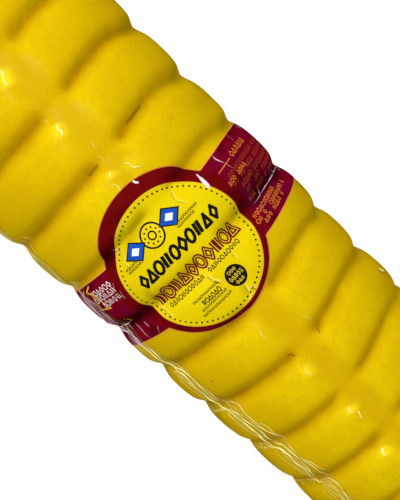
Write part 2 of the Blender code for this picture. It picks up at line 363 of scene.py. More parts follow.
def pleat_angle(x):
    """Where the front side pleat lies round the bar. The other one is opposite."""
    return PLEAT_ANGLE + PLEAT_TWIST * np.tanh((x - PLEAT_MIDDLE) / PLEAT_TWIST_LENGTH)


def pleat_degrees(along_mm):
    """Where the front side pleat lies, in degrees, at a place in mm along the bar."""
    return math.degrees(float(pleat_angle(along_mm * MM)))


def waves(x, y, length, seed, count=5):
    """Smooth seeded unevenness from -1 to 1, with features about one length across."""
    draw = random.Random(seed)
    total = np.zeros(np.broadcast(x, y).shape)
    for _ in range(count):
        heading = draw.uniform(0.0, math.pi)
        wave = 2.0 * math.pi / (length * draw.uniform(1.4, 2.6))
        phase = draw.uniform(0.0, 2.0 * math.pi)
        total += np.sin(wave * (x * math.cos(heading) + y * math.sin(heading)) + phase)
    return total / count**0.5 / 1.4


def ridge(x, y, start, end, width):
    """1 along the line from start to end, falling to 0 beside it and tapering at both ends."""
    step = np.array(end) - np.array(start)
    share = ((x - start[0]) * step[0] + (y - start[1]) * step[1]) / (step @ step)
    held = np.clip(share, 0.0, 1.0)
    apart = np.hypot(x - start[0] - held * step[0], y - start[1] - held * step[1])
    return bell(apart, width) * np.sin(math.pi * np.clip(0.06 + 0.88 * share, 0.0, 1.0)) ** 0.5


# Low folds of the film over the label: start and end in mm and degrees, then height and width in mm
FILM_FOLDS = (
    (-36.0, 24.0, -29.5, 23.0, 0.35, 1.2),
    (-36.5, 37.0, -26.0, 38.5, 0.25, 0.9),
    (-9.6, 33.0, -9.8, 66.0, 0.30, 0.9),
)

# Creases this strong or more, within these degrees of the top, are glints that light up the rind this far out
GLINT_STRENGTH = 0.90
GLINT_ANGLE = 20.0
GLINT_REACH = 0.0030

# Strands of the front pleat: strength, width and height in mm, then points picked on the cut-out
SEEN_STRANDS = (
    (1.00, 0.52, 0.60, ((0, 45), (75, 85), (110, 140), (200, 215), (300, 290), (380, 330), (450, 385),
                        (520, 460), (590, 520), (690, 580), (760, 630), (830, 680), (900, 745), (970, 800),
                        (1040, 855), (1120, 900), (1180, 945), (1230, 1000), (1300, 1050), (1370, 1110),
                        (1450, 1125), (1590, 1135))),
    (0.90, 0.40, 0.50, ((105, 118), (180, 185), (260, 245), (350, 305), (430, 345), (490, 395), (560, 465),
                        (630, 530), (700, 566))),
    (0.90, 0.36, 0.45, ((690, 556), (770, 555), (830, 590), (870, 650), (930, 700), (1000, 760),
                        (1080, 800), (1150, 850))),
    (0.95, 0.40, 0.50, ((720, 590), (800, 640), (860, 690), (930, 740), (1000, 790), (1070, 840),
                        (1140, 872), (1200, 925), (1260, 980), (1330, 1060), (1380, 1105))),
    (0.75, 0.32, 0.40, ((930, 705), (1020, 740), (1100, 800), (1170, 860), (1230, 925), (1300, 990),
                        (1380, 1045), (1450, 1085), (1500, 1100))),
    (0.70, 0.30, 0.35, ((1240, 950), (1340, 1000), (1420, 1045), (1490, 1065))),
    (0.85, 0.36, 0.40, ((1380, 1105), (1470, 1108), (1530, 1150), (1570, 1210), (1605, 1260),
                        (1660, 1310))),
    (0.80, 0.34, 0.40, ((1440, 1125), (1500, 1170), (1550, 1230), (1590, 1280), (1640, 1330))),
    (0.55, 0.26, 0.30, ((300, 275), (400, 310), (470, 355), (500, 400))),
    (0.55, 0.26, 0.30, ((560, 450), (600, 485), (660, 535), (740, 570), (800, 610), (850, 655))),
    (0.50, 0.24, 0.30, ((1060, 830), (1110, 850), (1170, 905), (1200, 960), (1260, 1010), (1310, 1050))),
    (0.80, 0.30, 0.20, ((358, 343), (380, 372))),
    (0.80, 0.30, 0.20, ((376, 350), (402, 368))),
    (0.80, 0.34, 0.20, ((622, 598), (655, 628))),
    (0.85, 0.34, 0.20, ((652, 602), (682, 634))),
    (0.80, 0.34, 0.20, ((684, 600), (712, 632))),
    (0.75, 0.30, 0.20, ((640, 624), (690, 618), (735, 620))),
    (0.80, 0.34, 0.20, ((950, 856), (985, 880))),
    (0.80, 0.30, 0.20, ((988, 862), (1005, 896))),
    (0.80, 0.30, 0.20, ((1013, 858), (1030, 892))),
    (0.80, 0.30, 0.20, ((1028, 866), (1062, 890))),
    (0.70, 0.30, 0.20, ((985, 880), (1060, 866))),
    (0.75, 0.32, 0.20, ((1242, 1100), (1300, 1106))),
    (0.80, 0.32, 0.20, ((1288, 1098), (1320, 1124))),
    (0.80, 0.32, 0.20, ((1313, 1095), (1345, 1126))),
    (0.80, 0.32, 0.20, ((1333, 1100), (1374, 1120))),
)

# Strands beside the label's band: strength, width and height in mm, then mm along the bar and degrees
BAND_STRANDS = (
    (0.95, 0.50, 0.60, ((-34.7, -72.5), (-28.4, -71.0), (-22.7, -71.0), (-16.3, -78.0), (-11.4, -77.0),
                        (-9.3, -69.5), (-6.0, -65.0))),
    (0.85, 0.38, 0.45, ((-13.0, -73.0), (-9.6, -66.0), (-5.3, -62.3), (-1.0, -61.0))),
)

# Fine creases and glints of the film elsewhere, in the same form
FILM_CREASES = (
    (0.60, 0.40, 0.25, ((57.4, -72.5), (62.5, -73.5))),
    (0.50, 0.40, 0.25, ((84.2, -71.5), (89.0, -69.5), (94.4, -69.5))),
    (0.55, 0.35, 0.25, ((-12.9, -77.0), (-12.3, -66.0), (-12.4, -56.0))),
    (0.40, 0.55, 0.25, ((-10.9, -56.5), (-7.6, -53.5), (-1.2, -51.5))),
    (0.40, 0.45, 0.25, ((-9.1, -48.5), (-5.6, -46.5))),
    (0.35, 0.45, 0.20, ((-4.1, -42.0), (-0.2, -44.0))),
    (0.30, 0.35, 0.20, ((-26.6, -40.0), (-21.8, -41.5))),
    (0.25, 0.35, 0.20, ((-31.0, -39.5), (-27.1, -42.5))),
    (0.62, 0.50, 0.20, ((-36.6, 36.8), (-34.3, 36.0), (-30.6, 37.2), (-26.4, 38.6))),
    (0.28, 0.35, 0.15, ((-37.0, 56.0), (-32.9, 55.0), (-29.8, 53.0))),
    (0.28, 0.55, 0.15, ((-36.8, 73.0), (-32.2, 75.0))),
    (0.42, 0.35, 0.20, ((-9.0, 33.0), (-9.3, 40.5), (-9.8, 50.0), (-9.9, 65.0))),
    (0.30, 0.50, 0.20, ((-9.9, 63.0), (-9.8, 80.0))),
    (0.30, 0.40, 0.20, ((-9.3, 80.0), (-7.6, 73.0))),
    (0.30, 0.60, 0.20, ((-11.4, 44.5), (-9.9, 41.5))),
    (0.95, 0.60, 0.15, ((-36.4, 23.9), (-34.8, 23.3), (-33.0, 23.0))),
    (0.97, 1.20, 0.15, ((-35.0, 23.4), (-31.8, 22.9), (-28.2, 22.7))),
    (1.00, 0.85, 0.25, ((-90.8, -2.0), (-88.8, -3.4), (-87.2, -2.9), (-85.6, -4.6))),
    (1.00, 0.75, 0.25, ((-62.8, -1.6), (-61.6, -2.6), (-60.1, -3.0))),
    (0.55, 0.40, 0.20, ((-58.8, -5.0), (-56.6, -3.8), (-54.2, -4.6))),
    (0.95, 0.60, 0.20, ((-61.4, 4.6), (-59.4, 6.4), (-57.0, 6.4), (-55.2, 9.2))),
    (0.60, 0.40, 0.20, ((-95.9, -4.0), (-93.2, -4.6))),
    (0.95, 0.80, 0.20, ((-54.0, 2.4), (-52.8, 2.2), (-51.2, 3.2))),
    (1.00, 1.20, 0.25, ((-120.6, -1.4), (-118.6, -2.0), (-116.0, -3.8), (-113.8, -4.0))),
    (0.45, 0.35, 0.15, ((-70.6, -0.4), (-68.4, 0.4), (-66.2, -1.4))),
    (0.40, 0.40, 0.15, ((-76.5, 3.0), (-74.0, 1.6), (-72.0, 2.2))),
    (0.95, 0.65, 0.20, ((52.2, -6.8), (54.4, -8.2), (57.6, -7.6))),
    (1.00, 1.00, 0.20, ((78.8, -6.6), (80.2, -8.2), (82.4, -7.6))),
    (0.85, 0.55, 0.20, ((83.0, -5.2), (86.6, -7.0))),
    (1.00, 1.00, 0.20, ((103.6, -10.6), (105.2, -12.4), (107.4, -12.0))),
    (0.95, 0.80, 0.20, ((56.6, 66.5), (58.8, 67.6), (60.4, 70.0))),
    (0.40, 0.35, 0.15, ((25.6, -8.0), (29.0, -9.4), (33.0, -9.0))),
    (0.35, 0.35, 0.15, ((35.8, 8.6), (38.8, 10.4), (42.0, 10.2))),
)


def film_radius(x, angle, follow):
    """The film's distance from the bar's axis. It bridges the grooves, and puckers where they are deepest."""
    radius = base_radius(x) - FILM_INSET - follow * relief(x, angle)
    signed, _ = turn_offset(x, angle)
    arc = angle * BAR_RADIUS
    cap = cap_factor(x)
    along = x + wander(x, angle) * cap
    in_groove = bell(signed, PUCKER_REACH) * (0.3 + 0.7 * beside_channel(x, angle))
    from_pleat = from_nearer_side(angle - pleat_angle(x)) * BAR_RADIUS
    deep = PUCKER_DEPTH + PLEAT_PUCKER_DEPTH * bell(from_pleat, PLEAT_PUCKER_REACH)
    radius = radius + waves(x * 0.35, arc, PUCKER_PITCH, 5) * in_groove * deep
    for x0, a0, x1, a1, height, width in FILM_FOLDS:
        radius = radius + height * MM * ridge(along, arc, arc_place(x0, a0), arc_place(x1, a1), width * MM)
    gathers = waves(np.cos(angle) * GATHER_ROUND, np.sin(angle) * GATHER_ROUND, GATHER_LENGTH, 9)
    return radius * cap + END_GATHER * cap * (1.0 - cap) * (1.0 + gathers)


def camera_spot(aim, height, side, tilt):
    """Where the camera stands when it aims at a place along the bar."""
    return np.array((aim - height * math.tan(tilt), side, float(centre_height(aim)) + height))


def camera_axes(tilt, turn):
    """The directions to the camera's right, up and back."""
    back = np.array((-math.sin(tilt), 0.0, math.cos(tilt)))
    along = np.array((math.cos(tilt), 0.0, math.sin(tilt)))
    across = np.array((0.0, 1.0, 0.0))
    right = along * math.cos(turn) + across * math.sin(turn)
    up = across * math.cos(turn) - along * math.sin(turn)
    return right, up, back


def strands_on_film():
    """The picked strands with each point moved to the place on the film that the camera sees there."""
    x, angle = np.meshgrid(np.arange(*CUT_ALONG), np.radians(np.arange(*CUT_ROUND)), indexing="ij")
    film = place(x, angle, base_radius(x) - FILM_INSET - FILM_FOLLOW * relief(x, angle))
    right, up, back = camera_axes(CAMERA_TILT, CAMERA_TURN)
    ray = film - camera_spot(CAMERA_AIM, CAMERA_HEIGHT, CAMERA_SIDE, CAMERA_TILT)
    depth = -(ray @ back)
    column = PHOTO_MIDDLE[0] + FOCAL_PIXELS * (ray @ right) / depth
    row = PHOTO_MIDDLE[1] - FOCAL_PIXELS * (ray @ up) / depth
    found = []
    for strength, width, height, picked in SEEN_STRANDS:
        path = []
        for u, v in picked:
            apart = (column - CUT_CORNER[0] - u / CUT_ZOOM) ** 2 + (row - CUT_CORNER[1] - v / CUT_ZOOM) ** 2
            spot = np.unravel_index(np.argmin(apart), apart.shape)
            path.append((round(float(film[spot][0]) / MM, 1), round(math.degrees(angle[spot]), 1)))
        found.append((strength, width, height, path))
    return found


def add_piece(name, points, faces, material, node, **values):
    """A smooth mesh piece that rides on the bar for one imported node, with numbers that its material reads."""
    mesh = bpy.data.meshes.new(name)
    mesh.from_pydata(points.reshape(-1, 3).tolist(), [], faces.tolist())
    mesh.validate()
    mesh.materials.append(material)
    mesh.shade_smooth()
    piece = bpy.data.objects.new(name, mesh)
    bpy.context.scene.collection.objects.link(piece)
    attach(piece, BODY)
    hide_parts(node)
    for key, numbers in values.items():
        layer = mesh.attributes.new(key, "FLOAT", "POINT")
        layer.data.foreach_set("value", np.ascontiguousarray(numbers, dtype=np.float32).ravel())


def grid_faces(rows, columns, closed=False):
    """Quads between the points of a grid, whose rows join up at their ends if it is closed."""
    index = np.arange(rows * columns).reshape(rows, columns)
    after = np.roll(index, -1, axis=1) if closed else index[:, 1:]
    here = index if closed else index[:, :-1]
    return np.stack([here[:-1], here[1:], after[1:], after[:-1]], axis=-1).reshape(-1, 4)


def smooth_path(path, step):
    """Points about one step apart on a smooth curve through a path of mm and degrees, as along and angle."""
    knots = np.array([(x * MM, math.radians(a)) for x, a in path])
    knots = np.vstack([2.0 * knots[0] - knots[1], knots, 2.0 * knots[-1] - knots[-2]])
    found = []
    for before, start, end, after in zip(knots, knots[1:], knots[2:], knots[3:]):
        gap = (end - start) * (1.0, BAR_RADIUS)
        count = max(2, round(float(np.hypot(*gap)) / step))
        t = np.arange(count)[:, None] / count
        bend = (2.0 * before - 5.0 * start + 4.0 * end - after) * t**2
        twist = (3.0 * start - before - 3.0 * end + after) * t**3
        found.append(0.5 * (2.0 * start + (end - before) * t + bend + twist))
    return np.vstack([*found, knots[-2:-1]])


def crease_strip(path, strength, width, height, follow, seed, step):
    """One thin ridge of film along a path: its points, how strongly its painted highlight and shade are seen at
    each, and its two sides.

    On the flanks, where the film is seen at a slant, the ridge bridges the rope marks. Its points are then
    turned round the bar until they line up with their path as the camera sees it.
    """
    line = smooth_path(path, step)
    steps = np.gradient(line, axis=0) * (1.0, BAR_RADIUS)
    steps /= np.maximum(np.hypot(steps[:, 0], steps[:, 1]), 1e-9)[:, None]
    share = np.linspace(0.0, 1.0, len(line))
    run = np.arange(len(line)) * step
    ends = np.clip(np.minimum(share, 1.0 - share) * 6.0, 0.0, 1.0) ** 0.7
    uneven = waves(run, run * 0.0, 0.004, seed)
    slack = STRIP_SLACK * waves(run, run * 0.0, 0.0025, seed + 100)
    across = np.linspace(-1.0, 1.0, STRIP_COLUMNS)
    flare = 1.0 / np.maximum(np.abs(np.cos(line[:, 1])), LEAST_FLARE_COSINE)
    wide = width * MM * STRIP_WIDTH_SHARE * flare * (0.3 + 0.7 * ends) * (1.0 + 0.36 * uneven)
    off = across[None, :] * wide[:, None] + slack[:, None]
    along = line[:, :1] - steps[:, 1:] * off
    angle = line[:, 1:] + steps[:, :1] * off / BAR_RADIUS
    tall = STRIP_HEIGHT_SHARE * height * MM * ends * (0.85 + 0.25 * waves(run, run * 0.0, 0.006, seed + 200))
    lift = STRIP_LIFT + tall[:, None] * (1.0 - across[None, :] ** 2)
    x = along - wander(along, angle) * cap_factor(along)
    low = film_radius(x, angle, follow)
    bridging = smoothstep(*BRIDGING_SLOPES, np.abs(np.sin(angle)))
    radius = low + (film_radius(x, angle, follow * 0.5) - low) * bridging
    sight = low * np.sin(angle) / (CAMERA_HEIGHT - low * np.cos(angle))
    turned = angle
    for _ in range(SIGHT_ROUNDS):
        leaning = sight * (CAMERA_HEIGHT - radius * np.cos(turned)) / np.maximum(radius, MM)
        turned = np.arcsin(np.clip(leaning, -1.0, 1.0))
    angle = np.where(np.cos(angle) > LEAST_SEEN_COSINE, turned, angle)
    points = place(x, angle, radius + lift)
    body = 1.0 - across[None, :] ** 8
    # How strongly the crease's painted highlight and shade show, and which side is in painted shade
    seen = strength * ends[:, None] * (0.74 + 0.38 * uneven[:, None]) * body
    side = across[None, :] * smoothstep(*SHADED_SLOPES, np.abs(np.sin(line[:, 1:])))
    return points, np.clip(seen, 0.0, 1.0), side


def linspace_steps(low, high, step):
    """Even values from low to high, about one step apart."""
    return np.linspace(low, high, max(2, round((high - low) / step) + 1))


class NodeBench:
    """Places and links the nodes of one shader or group."""

    def __init__(self, tree):
        self.tree = tree

    def add(self, kind, inputs=None, **settings):
        """A node with these settings, and with its named or numbered inputs linked or set."""
        node = self.tree.nodes.new(kind)
        for key, value in settings.items():
            setattr(node, key, value)
        for key, value in (inputs or {}).items():
            self.plug(value, node.inputs[key])
        return node

    def plug(self, value, socket):
        """Links a socket to an output, or sets it to a plain value."""
        if isinstance(value, bpy.types.NodeSocket):
            self.tree.links.new(value, socket)
        else:
            socket.default_value = value

    def math(self, operation, *values, clamp=False):
        """The result of one math operation on numbers or outputs."""
        node = self.add("ShaderNodeMath", dict(enumerate(values)), operation=operation, use_clamp=clamp)
        return node.outputs[0]

    def blend(self, factor, first, second, kind="MIX"):
        """A colour mixed from two colours."""
        node = self.add("ShaderNodeMix", data_type="RGBA", blend_type=kind)
        self.plug(factor, node.inputs[0])
        self.plug(first, node.inputs[6])
        self.plug(second, node.inputs[7])
        return node.outputs[2]

    def tint(self, mask, share, colour, tone):
        """A colour turned towards a tone by a share of a mask."""
        return self.blend(self.math("MULTIPLY", mask, share), colour, tone)

    def ramp(self, value, low, high, start=0.0, end=1.0):
        """Value mapped from low..high to start..end, smoothly and held at both ends."""
        node = self.add(
            "ShaderNodeMapRange",
            {0: value, 1: low, 2: high, 3: start, 4: end},
            interpolation_type="SMOOTHSTEP",
        )
        return node.outputs[0]

    def noise(self, place_on, scale, detail=3.0, roughness=0.5, distortion=0.0):
        """Cloudy unevenness from 0 to 1."""
        inputs = {"Vector": place_on, "Scale": scale, "Detail": detail, "Roughness": roughness,
                  "Distortion": distortion}
        return self.add("ShaderNodeTexNoise", inputs).outputs[0]

    def bump(self, height, strength, distance):
        """A normal roughened by a height."""
        inputs = {"Strength": strength, "Distance": distance, "Height": height}
        return self.add("ShaderNodeBump", inputs).outputs[0]

    def matt(self, out, colour, roughness, more=None):
        """Finishes a material with a shader that has no gloss, because all gloss lies in the film."""
        inputs = {"Base Color": colour, "Roughness": roughness, "Specular IOR Level": 0.0, **(more or {})}
        self.plug(self.add("ShaderNodeBsdfPrincipled", inputs).outputs[0], out.inputs[0])

    def length(self, x, y):
        """The length of a step given as two numbers."""
        return self.math("SQRT", self.math("MULTIPLY_ADD", x, x, self.math("MULTIPLY", y, y)))

    def value(self, name):
        """A number that the piece's points carry."""
        return self.add("ShaderNodeAttribute", attribute_name=name).outputs["Fac"]

    def group(self, tree, **inputs):
        """The first output of a shader node group."""
        node = self.add("ShaderNodeGroup")
        node.node_tree = tree
        for key, value in inputs.items():
            self.plug(value, node.inputs[key.replace("_", " ")])
        return node.outputs[0]


def new_group(name, inputs, output):
    """An empty shader node group with number inputs and one output. Returns its bench, inputs and exit."""
    tree = bpy.data.node_groups.new(name, "ShaderNodeTree")
    for label, default in inputs.items():
        socket = tree.interface.new_socket(label, in_out="INPUT", socket_type="NodeSocketFloat")
        socket.default_value = default
    tree.interface.new_socket(output, in_out="OUTPUT", socket_type="NodeSocketFloat")
    bench = NodeBench(tree)
    entry = bench.add("NodeGroupInput")
    leave = bench.add("NodeGroupOutput")
    return tree, bench, entry.outputs, leave.inputs[0]


def new_material(name):
    """An empty node material. Returns it with its bench and its output node."""
    material = bpy.data.materials.new(name)
    material.use_nodes = True
    material.node_tree.nodes.clear()
    bench = NodeBench(material.node_tree)
    return material, bench, bench.add("ShaderNodeOutputMaterial")


def crease_group():
    """A thin line between two places: 1 on it, 0 beside it."""
    inputs = {"Along": 0.0, "Round": 0.0, "Start along": 0.0, "Start round": 0.0, "End along": 1.0,
              "End round": 0.0, "Width": 0.5}
    tree, b, given, leave = new_group("Crease line", inputs, "Mask")
    run_a = b.math("SUBTRACT", given["End along"], given["Start along"])
    run_r = b.math("SUBTRACT", given["End round"], given["Start round"])
    off_a = b.math("SUBTRACT", given["Along"], given["Start along"])
    off_r = b.math("SUBTRACT", given["Round"], given["Start round"])
    dot = b.math("MULTIPLY_ADD", off_a, run_a, b.math("MULTIPLY", off_r, run_r))
    square = b.math("MULTIPLY_ADD", run_a, run_a, b.math("MULTIPLY", run_r, run_r))
    share = b.math("DIVIDE", dot, square, clamp=True)
    gap_a = b.math("SUBTRACT", off_a, b.math("MULTIPLY", share, run_a))
    gap_r = b.math("SUBTRACT", off_r, b.math("MULTIPLY", share, run_r))
    b.plug(b.ramp(b.math("DIVIDE", b.length(gap_a, gap_r), given["Width"]), 0.0, 1.0, 1.0, 0.0), leave)
    return tree


def disc_group():
    """A printed round spot: 1 inside its radius, 0 outside."""
    inputs = {"Along": 0.0, "Round": 0.0, "Centre along": 0.0, "Centre round": 0.0, "Radius": 1.0}
    tree, b, given, leave = new_group("Printed disc", inputs, "Mask")
    off_a = b.math("SUBTRACT", given["Along"], given["Centre along"])
    off_r = b.math("SUBTRACT", given["Round"], given["Centre round"])
    inside = b.math("SUBTRACT", given["Radius"], b.length(off_a, off_r))
    b.plug(b.math("MULTIPLY_ADD", inside, 6.0, 0.5, clamp=True), leave)
    return tree


def colour_property(name, description, default):
    """A colour in the panel, given without its alpha of 1."""
    return bpy.props.FloatVectorProperty(
        name=name, description=description, subtype="COLOR", default=(*default, 1.0), size=4, min=0.0,
        max=1.0)


def length_property(name, description, default, low, high):
    """A length in the panel."""
    return bpy.props.FloatProperty(
        name=name, description=description, unit="LENGTH", default=default, min=low, max=high)


def share_property(name, description, default):
    """A share from 0 to 1 in the panel."""
    return bpy.props.FloatProperty(
        name=name, description=description, subtype="FACTOR", default=default, min=0.0, max=1.0)


def angle_property(name, description, default, most):
    """An angle either way in the panel."""
    return bpy.props.FloatProperty(
        name=name, description=description, subtype="ANGLE", default=default, min=-most, max=most)


def number_property(name, description, default, low, high):
    """A plain number in the panel."""
    return bpy.props.FloatProperty(name=name, description=description, default=default, min=low, max=high)


class CheeseSettings(bpy.types.PropertyGroup):
    """Sizes and colours of the cheese."""

    lobe_colour: colour_property("Lobe colour", "Rind on top of the lobes", (0.622, 0.440, 0.0010))
    # Painted shade at the bottom of a rope mark
    groove_shade_colour: colour_property(
        "Groove colour", "Rind at the bottom of a rope mark", (0.36, 0.185, 0.0004))
    channel_colour: colour_property(
        "Channel colour", "Rind along the smooth channel between the lobes", (0.535, 0.336, 0.0008))
    speck_colour: colour_property("Speck colour", "Small dark specks in the rind", (0.16, 0.06, 0.001))
    mesh_step: length_property(
        "Mesh step", "Distance between the points of the rind's mesh", 0.0016, 0.0008, 0.01)
    roughness: share_property("Roughness", "How dull the bare rind is under the film", 0.55)


class FilmSettings(bpy.types.PropertyGroup):
    """Sizes and finish of the clear bag."""

    follow: share_property("Follow", "Share of the rope marks' depth that the film sinks into", FILM_FOLLOW)
    mesh_step: length_property(
        "Mesh step", "Distance between the points of the film's mesh", 0.0012, 0.0006, 0.01)
    gloss_roughness: share_property(
        "Crease roughness", "How blurred the reflections in the film's creases are", 0.10)
    smooth_roughness: share_property(
        "Film roughness", "How blurred the reflections in the smooth film are", 0.34)
    # The creases' colour is a painted highlight
    crease_colour: colour_property(
        "Crease colour", "Light that the film's creases carry over the rind", (0.95, 0.86, 0.27))
    haze_colour: colour_property("Haze colour", "Faint haze of the folded film", (0.86, 0.76, 0.20))
    bending: number_property("Index of refraction", "Sets how strongly the film reflects", 1.42, 1.0, 2.0)
    seal_colour: colour_property("Seal colour", "Milky look of the sealed ends", (0.36, 0.36, 0.33))
    fin_reach: length_property(
        "Sealed end", "How far each sealed end stands out from the bar", 0.0158, 0.005, 0.05)


class LabelSettings(bpy.types.PropertyGroup):
    """Sizes and colours of the printed label."""

    medallion_radius: length_property(
        "Medallion radius", "Radius of the label's round middle", 0.0362, 0.01, 0.05)
    band_width: length_property("Band width", "Width of the band that goes round the bar", 0.0378, 0.01, 0.08)
    ring_colour: colour_property("Ring colour", "Dark red round the medallion", (0.13, 0.002, 0.0025))
    band_colour: colour_property("Band colour", "Wine red of the band", (0.165, 0.0012, 0.012))
    disc_colour: colour_property("Disc colour", "Yellow of the medallion's middle", (0.625, 0.472, 0.0012))
    ink_colour: colour_property("Ink colour", "Black print", (0.010, 0.008, 0.008))
    blue_colour: colour_property("Blue colour", "Blue of the small ornament", (0.010, 0.070, 0.44))
    orange_colour: colour_property("Orange colour", "Small print on the band", (0.72, 0.20, 0.02))


class StageSettings(bpy.types.PropertyGroup):
    """Camera, light and floor."""

    camera_height: length_property(
        "Camera height", "Camera's height over the bar's axis", CAMERA_HEIGHT, 0.1, 5.0)
    camera_tilt: angle_property(
        "Camera tilt", "How far the camera leans along the bar", CAMERA_TILT, 1.5)
    camera_turn: angle_property(
        "Camera turn", "How far the bar runs down to the right in the picture", CAMERA_TURN, 3.2)
    camera_aim: length_property(
        "Camera aim", "Place on the bar's axis at the middle of the picture", CAMERA_AIM, -0.5, 0.5)
    lens: number_property("Lens", "Focal length in millimetres", 63.35, 10.0, 300.0)
    camera_side: length_property(
        "Camera side", "How far the camera stands across the bar from its middle", CAMERA_SIDE, -1.0, 1.0)
    key_power: number_property("Key light", "Power of the small crisp light in watts", 0.6, 0.0, 1000.0)
    fill_power: number_property(
        "Fill light", "Power of the large overhead softbox in watts", 9.2, 0.0, 1000.0)
    side_power: number_property(
        "Side light", "Power of the softbox off the bar's left end in watts", 17.0, 0.0, 1000.0)
    sky: number_property("Sky", "Brightness of the surroundings", 0.31, 0.0, 5.0)
    floor_colour: colour_property("Floor colour", "Pale floor", (0.92, 0.92, 0.92))
    floor_glow: number_property(
        "Floor glow", "Light of its own that keeps the shadow on the floor pale", 0.27, 0.0, 5.0)


# Short creases at the bottom of some rope marks, darkened with painted shade: start and end in mm and degrees,
# then width in mm
RIND_CREASES = (
    (-71.6, 30.0, -70.7, 20.0, 1.2),
    (45.4, 11.6, 47.6, 9.4, 0.8),
    (44.6, -8.5, 46.6, -7.0, 0.7),
    (-67.9, -3.5, -67.4, -9.0, 0.9),
)


# A crumple wider than this many mm is a soft hollow of painted shade, and a narrower one has a side of painted
# shade and a side of painted highlight
WIDEST_CRUMPLE = 1.5

# Crumples of the label: start and end in mm across and round it, then width in mm and strength
LABEL_CREASES = (
    (-22.2, 15.8, -17.7, 13.9, 0.7, 0.45),
    (-17.7, 13.9, -14.1, 15.8, 0.7, 0.35),
    (-22.3, -22.0, -20.0, -18.6, 0.9, 0.55),
    (-20.0, -18.6, -16.0, -20.5, 0.8, 0.45),
    (-16.0, -21.5, -12.1, -20.5, 0.6, 0.40),
    (12.7, -0.7, 15.8, -0.2, 0.8, 0.55),
    (15.8, -0.2, 18.4, 1.3, 0.9, 0.80),
    (12.6, 14.3, 16.2, 13.4, 0.7, 0.40),
    (26.3, 7.6, 30.3, 6.1, 1.1, 0.60),
    (30.3, 6.1, 31.8, 3.7, 0.9, 0.50),
    (28.8, 8.0, 30.9, 10.0, 0.9, 0.65),
    (9.6, -27.3, 12.1, -25.4, 0.9, 0.55),
    (12.1, -25.4, 17.6, -25.4, 0.8, 0.45),
    (-23.7, -0.2, -21.5, -14.2, 3.6, 0.50),
    (-24.6, -9.0, -22.0, -21.0, 2.6, 0.35),
    (-1.3, -23.9, 9.0, -25.4, 3.2, 0.45),
    (5.8, -26.0, 8.5, -29.5, 2.6, 0.50),
    (6.4, 30.8, 9.9, 27.9, 2.0, 0.45),
    (26.2, 6.1, 30.2, 3.7, 2.4, 0.30),
    (3.5, 26.5, 5.5, 21.0, 1.6, 0.25),
    (6.0, -34.0, 7.5, -52.0, 3.6, 0.70),
    (3.0, -50.0, 8.0, -58.0, 3.0, 0.60),
    (7.0, 36.0, 7.5, 70.0, 1.8, 0.60),
    (-22.0, 60.0, -14.0, 68.0, 2.0, 0.40),
)


# Tones of the rind beside the colours in its settings: its own cloudy mottling and grain, and painted shade
# beside and in the rope marks, on the flanks and sides, at the marks' ends and in creases, with a painted
# highlight round the film's glints
RIND_CLOUD = (0.655, 0.485, 0.002, 1.0)
RIND_PATCH = (0.50, 0.335, 0.001, 1.0)
RIND_MARK_SHADE = (0.60, 0.352, 0.0007, 1.0)
RIND_FLANK = (0.40, 0.228, 0.0008, 1.0)
RIND_DIM = (0.55, 0.355, 0.0008, 1.0)
RIND_GLEAM = (0.92, 0.72, 0.012, 1.0)
RIND_RIM = (0.20, 0.135, 0.001, 1.0)
RIND_GRAIN = (0.42, 0.26, 0.001, 1.0)
RIND_FINE_GRAIN = (0.47, 0.305, 0.001, 1.0)
RIND_MARK_END = (0.27, 0.105, 0.001, 1.0)
RIND_CREASE = (0.17, 0.080, 0.001, 1.0)


def rind_creases(b):
    """The short creases of the rind, darkened with painted shade: 1 on each, 0 beside them."""
    along, around = b.value("along_mm"), b.value("round_mm")
    crease = crease_group()
    lines = None
    for x0, a0, x1, a1, width in RIND_CREASES:
        line = b.group(crease, Along=along, Round=around, Start_along=x0,
                       Start_round=math.radians(a0) * BAR_RADIUS / MM, End_along=x1,
                       End_round=math.radians(a1) * BAR_RADIUS / MM, Width=width)
        lines = line if lines is None else b.math("MAXIMUM", lines, line)
    return lines


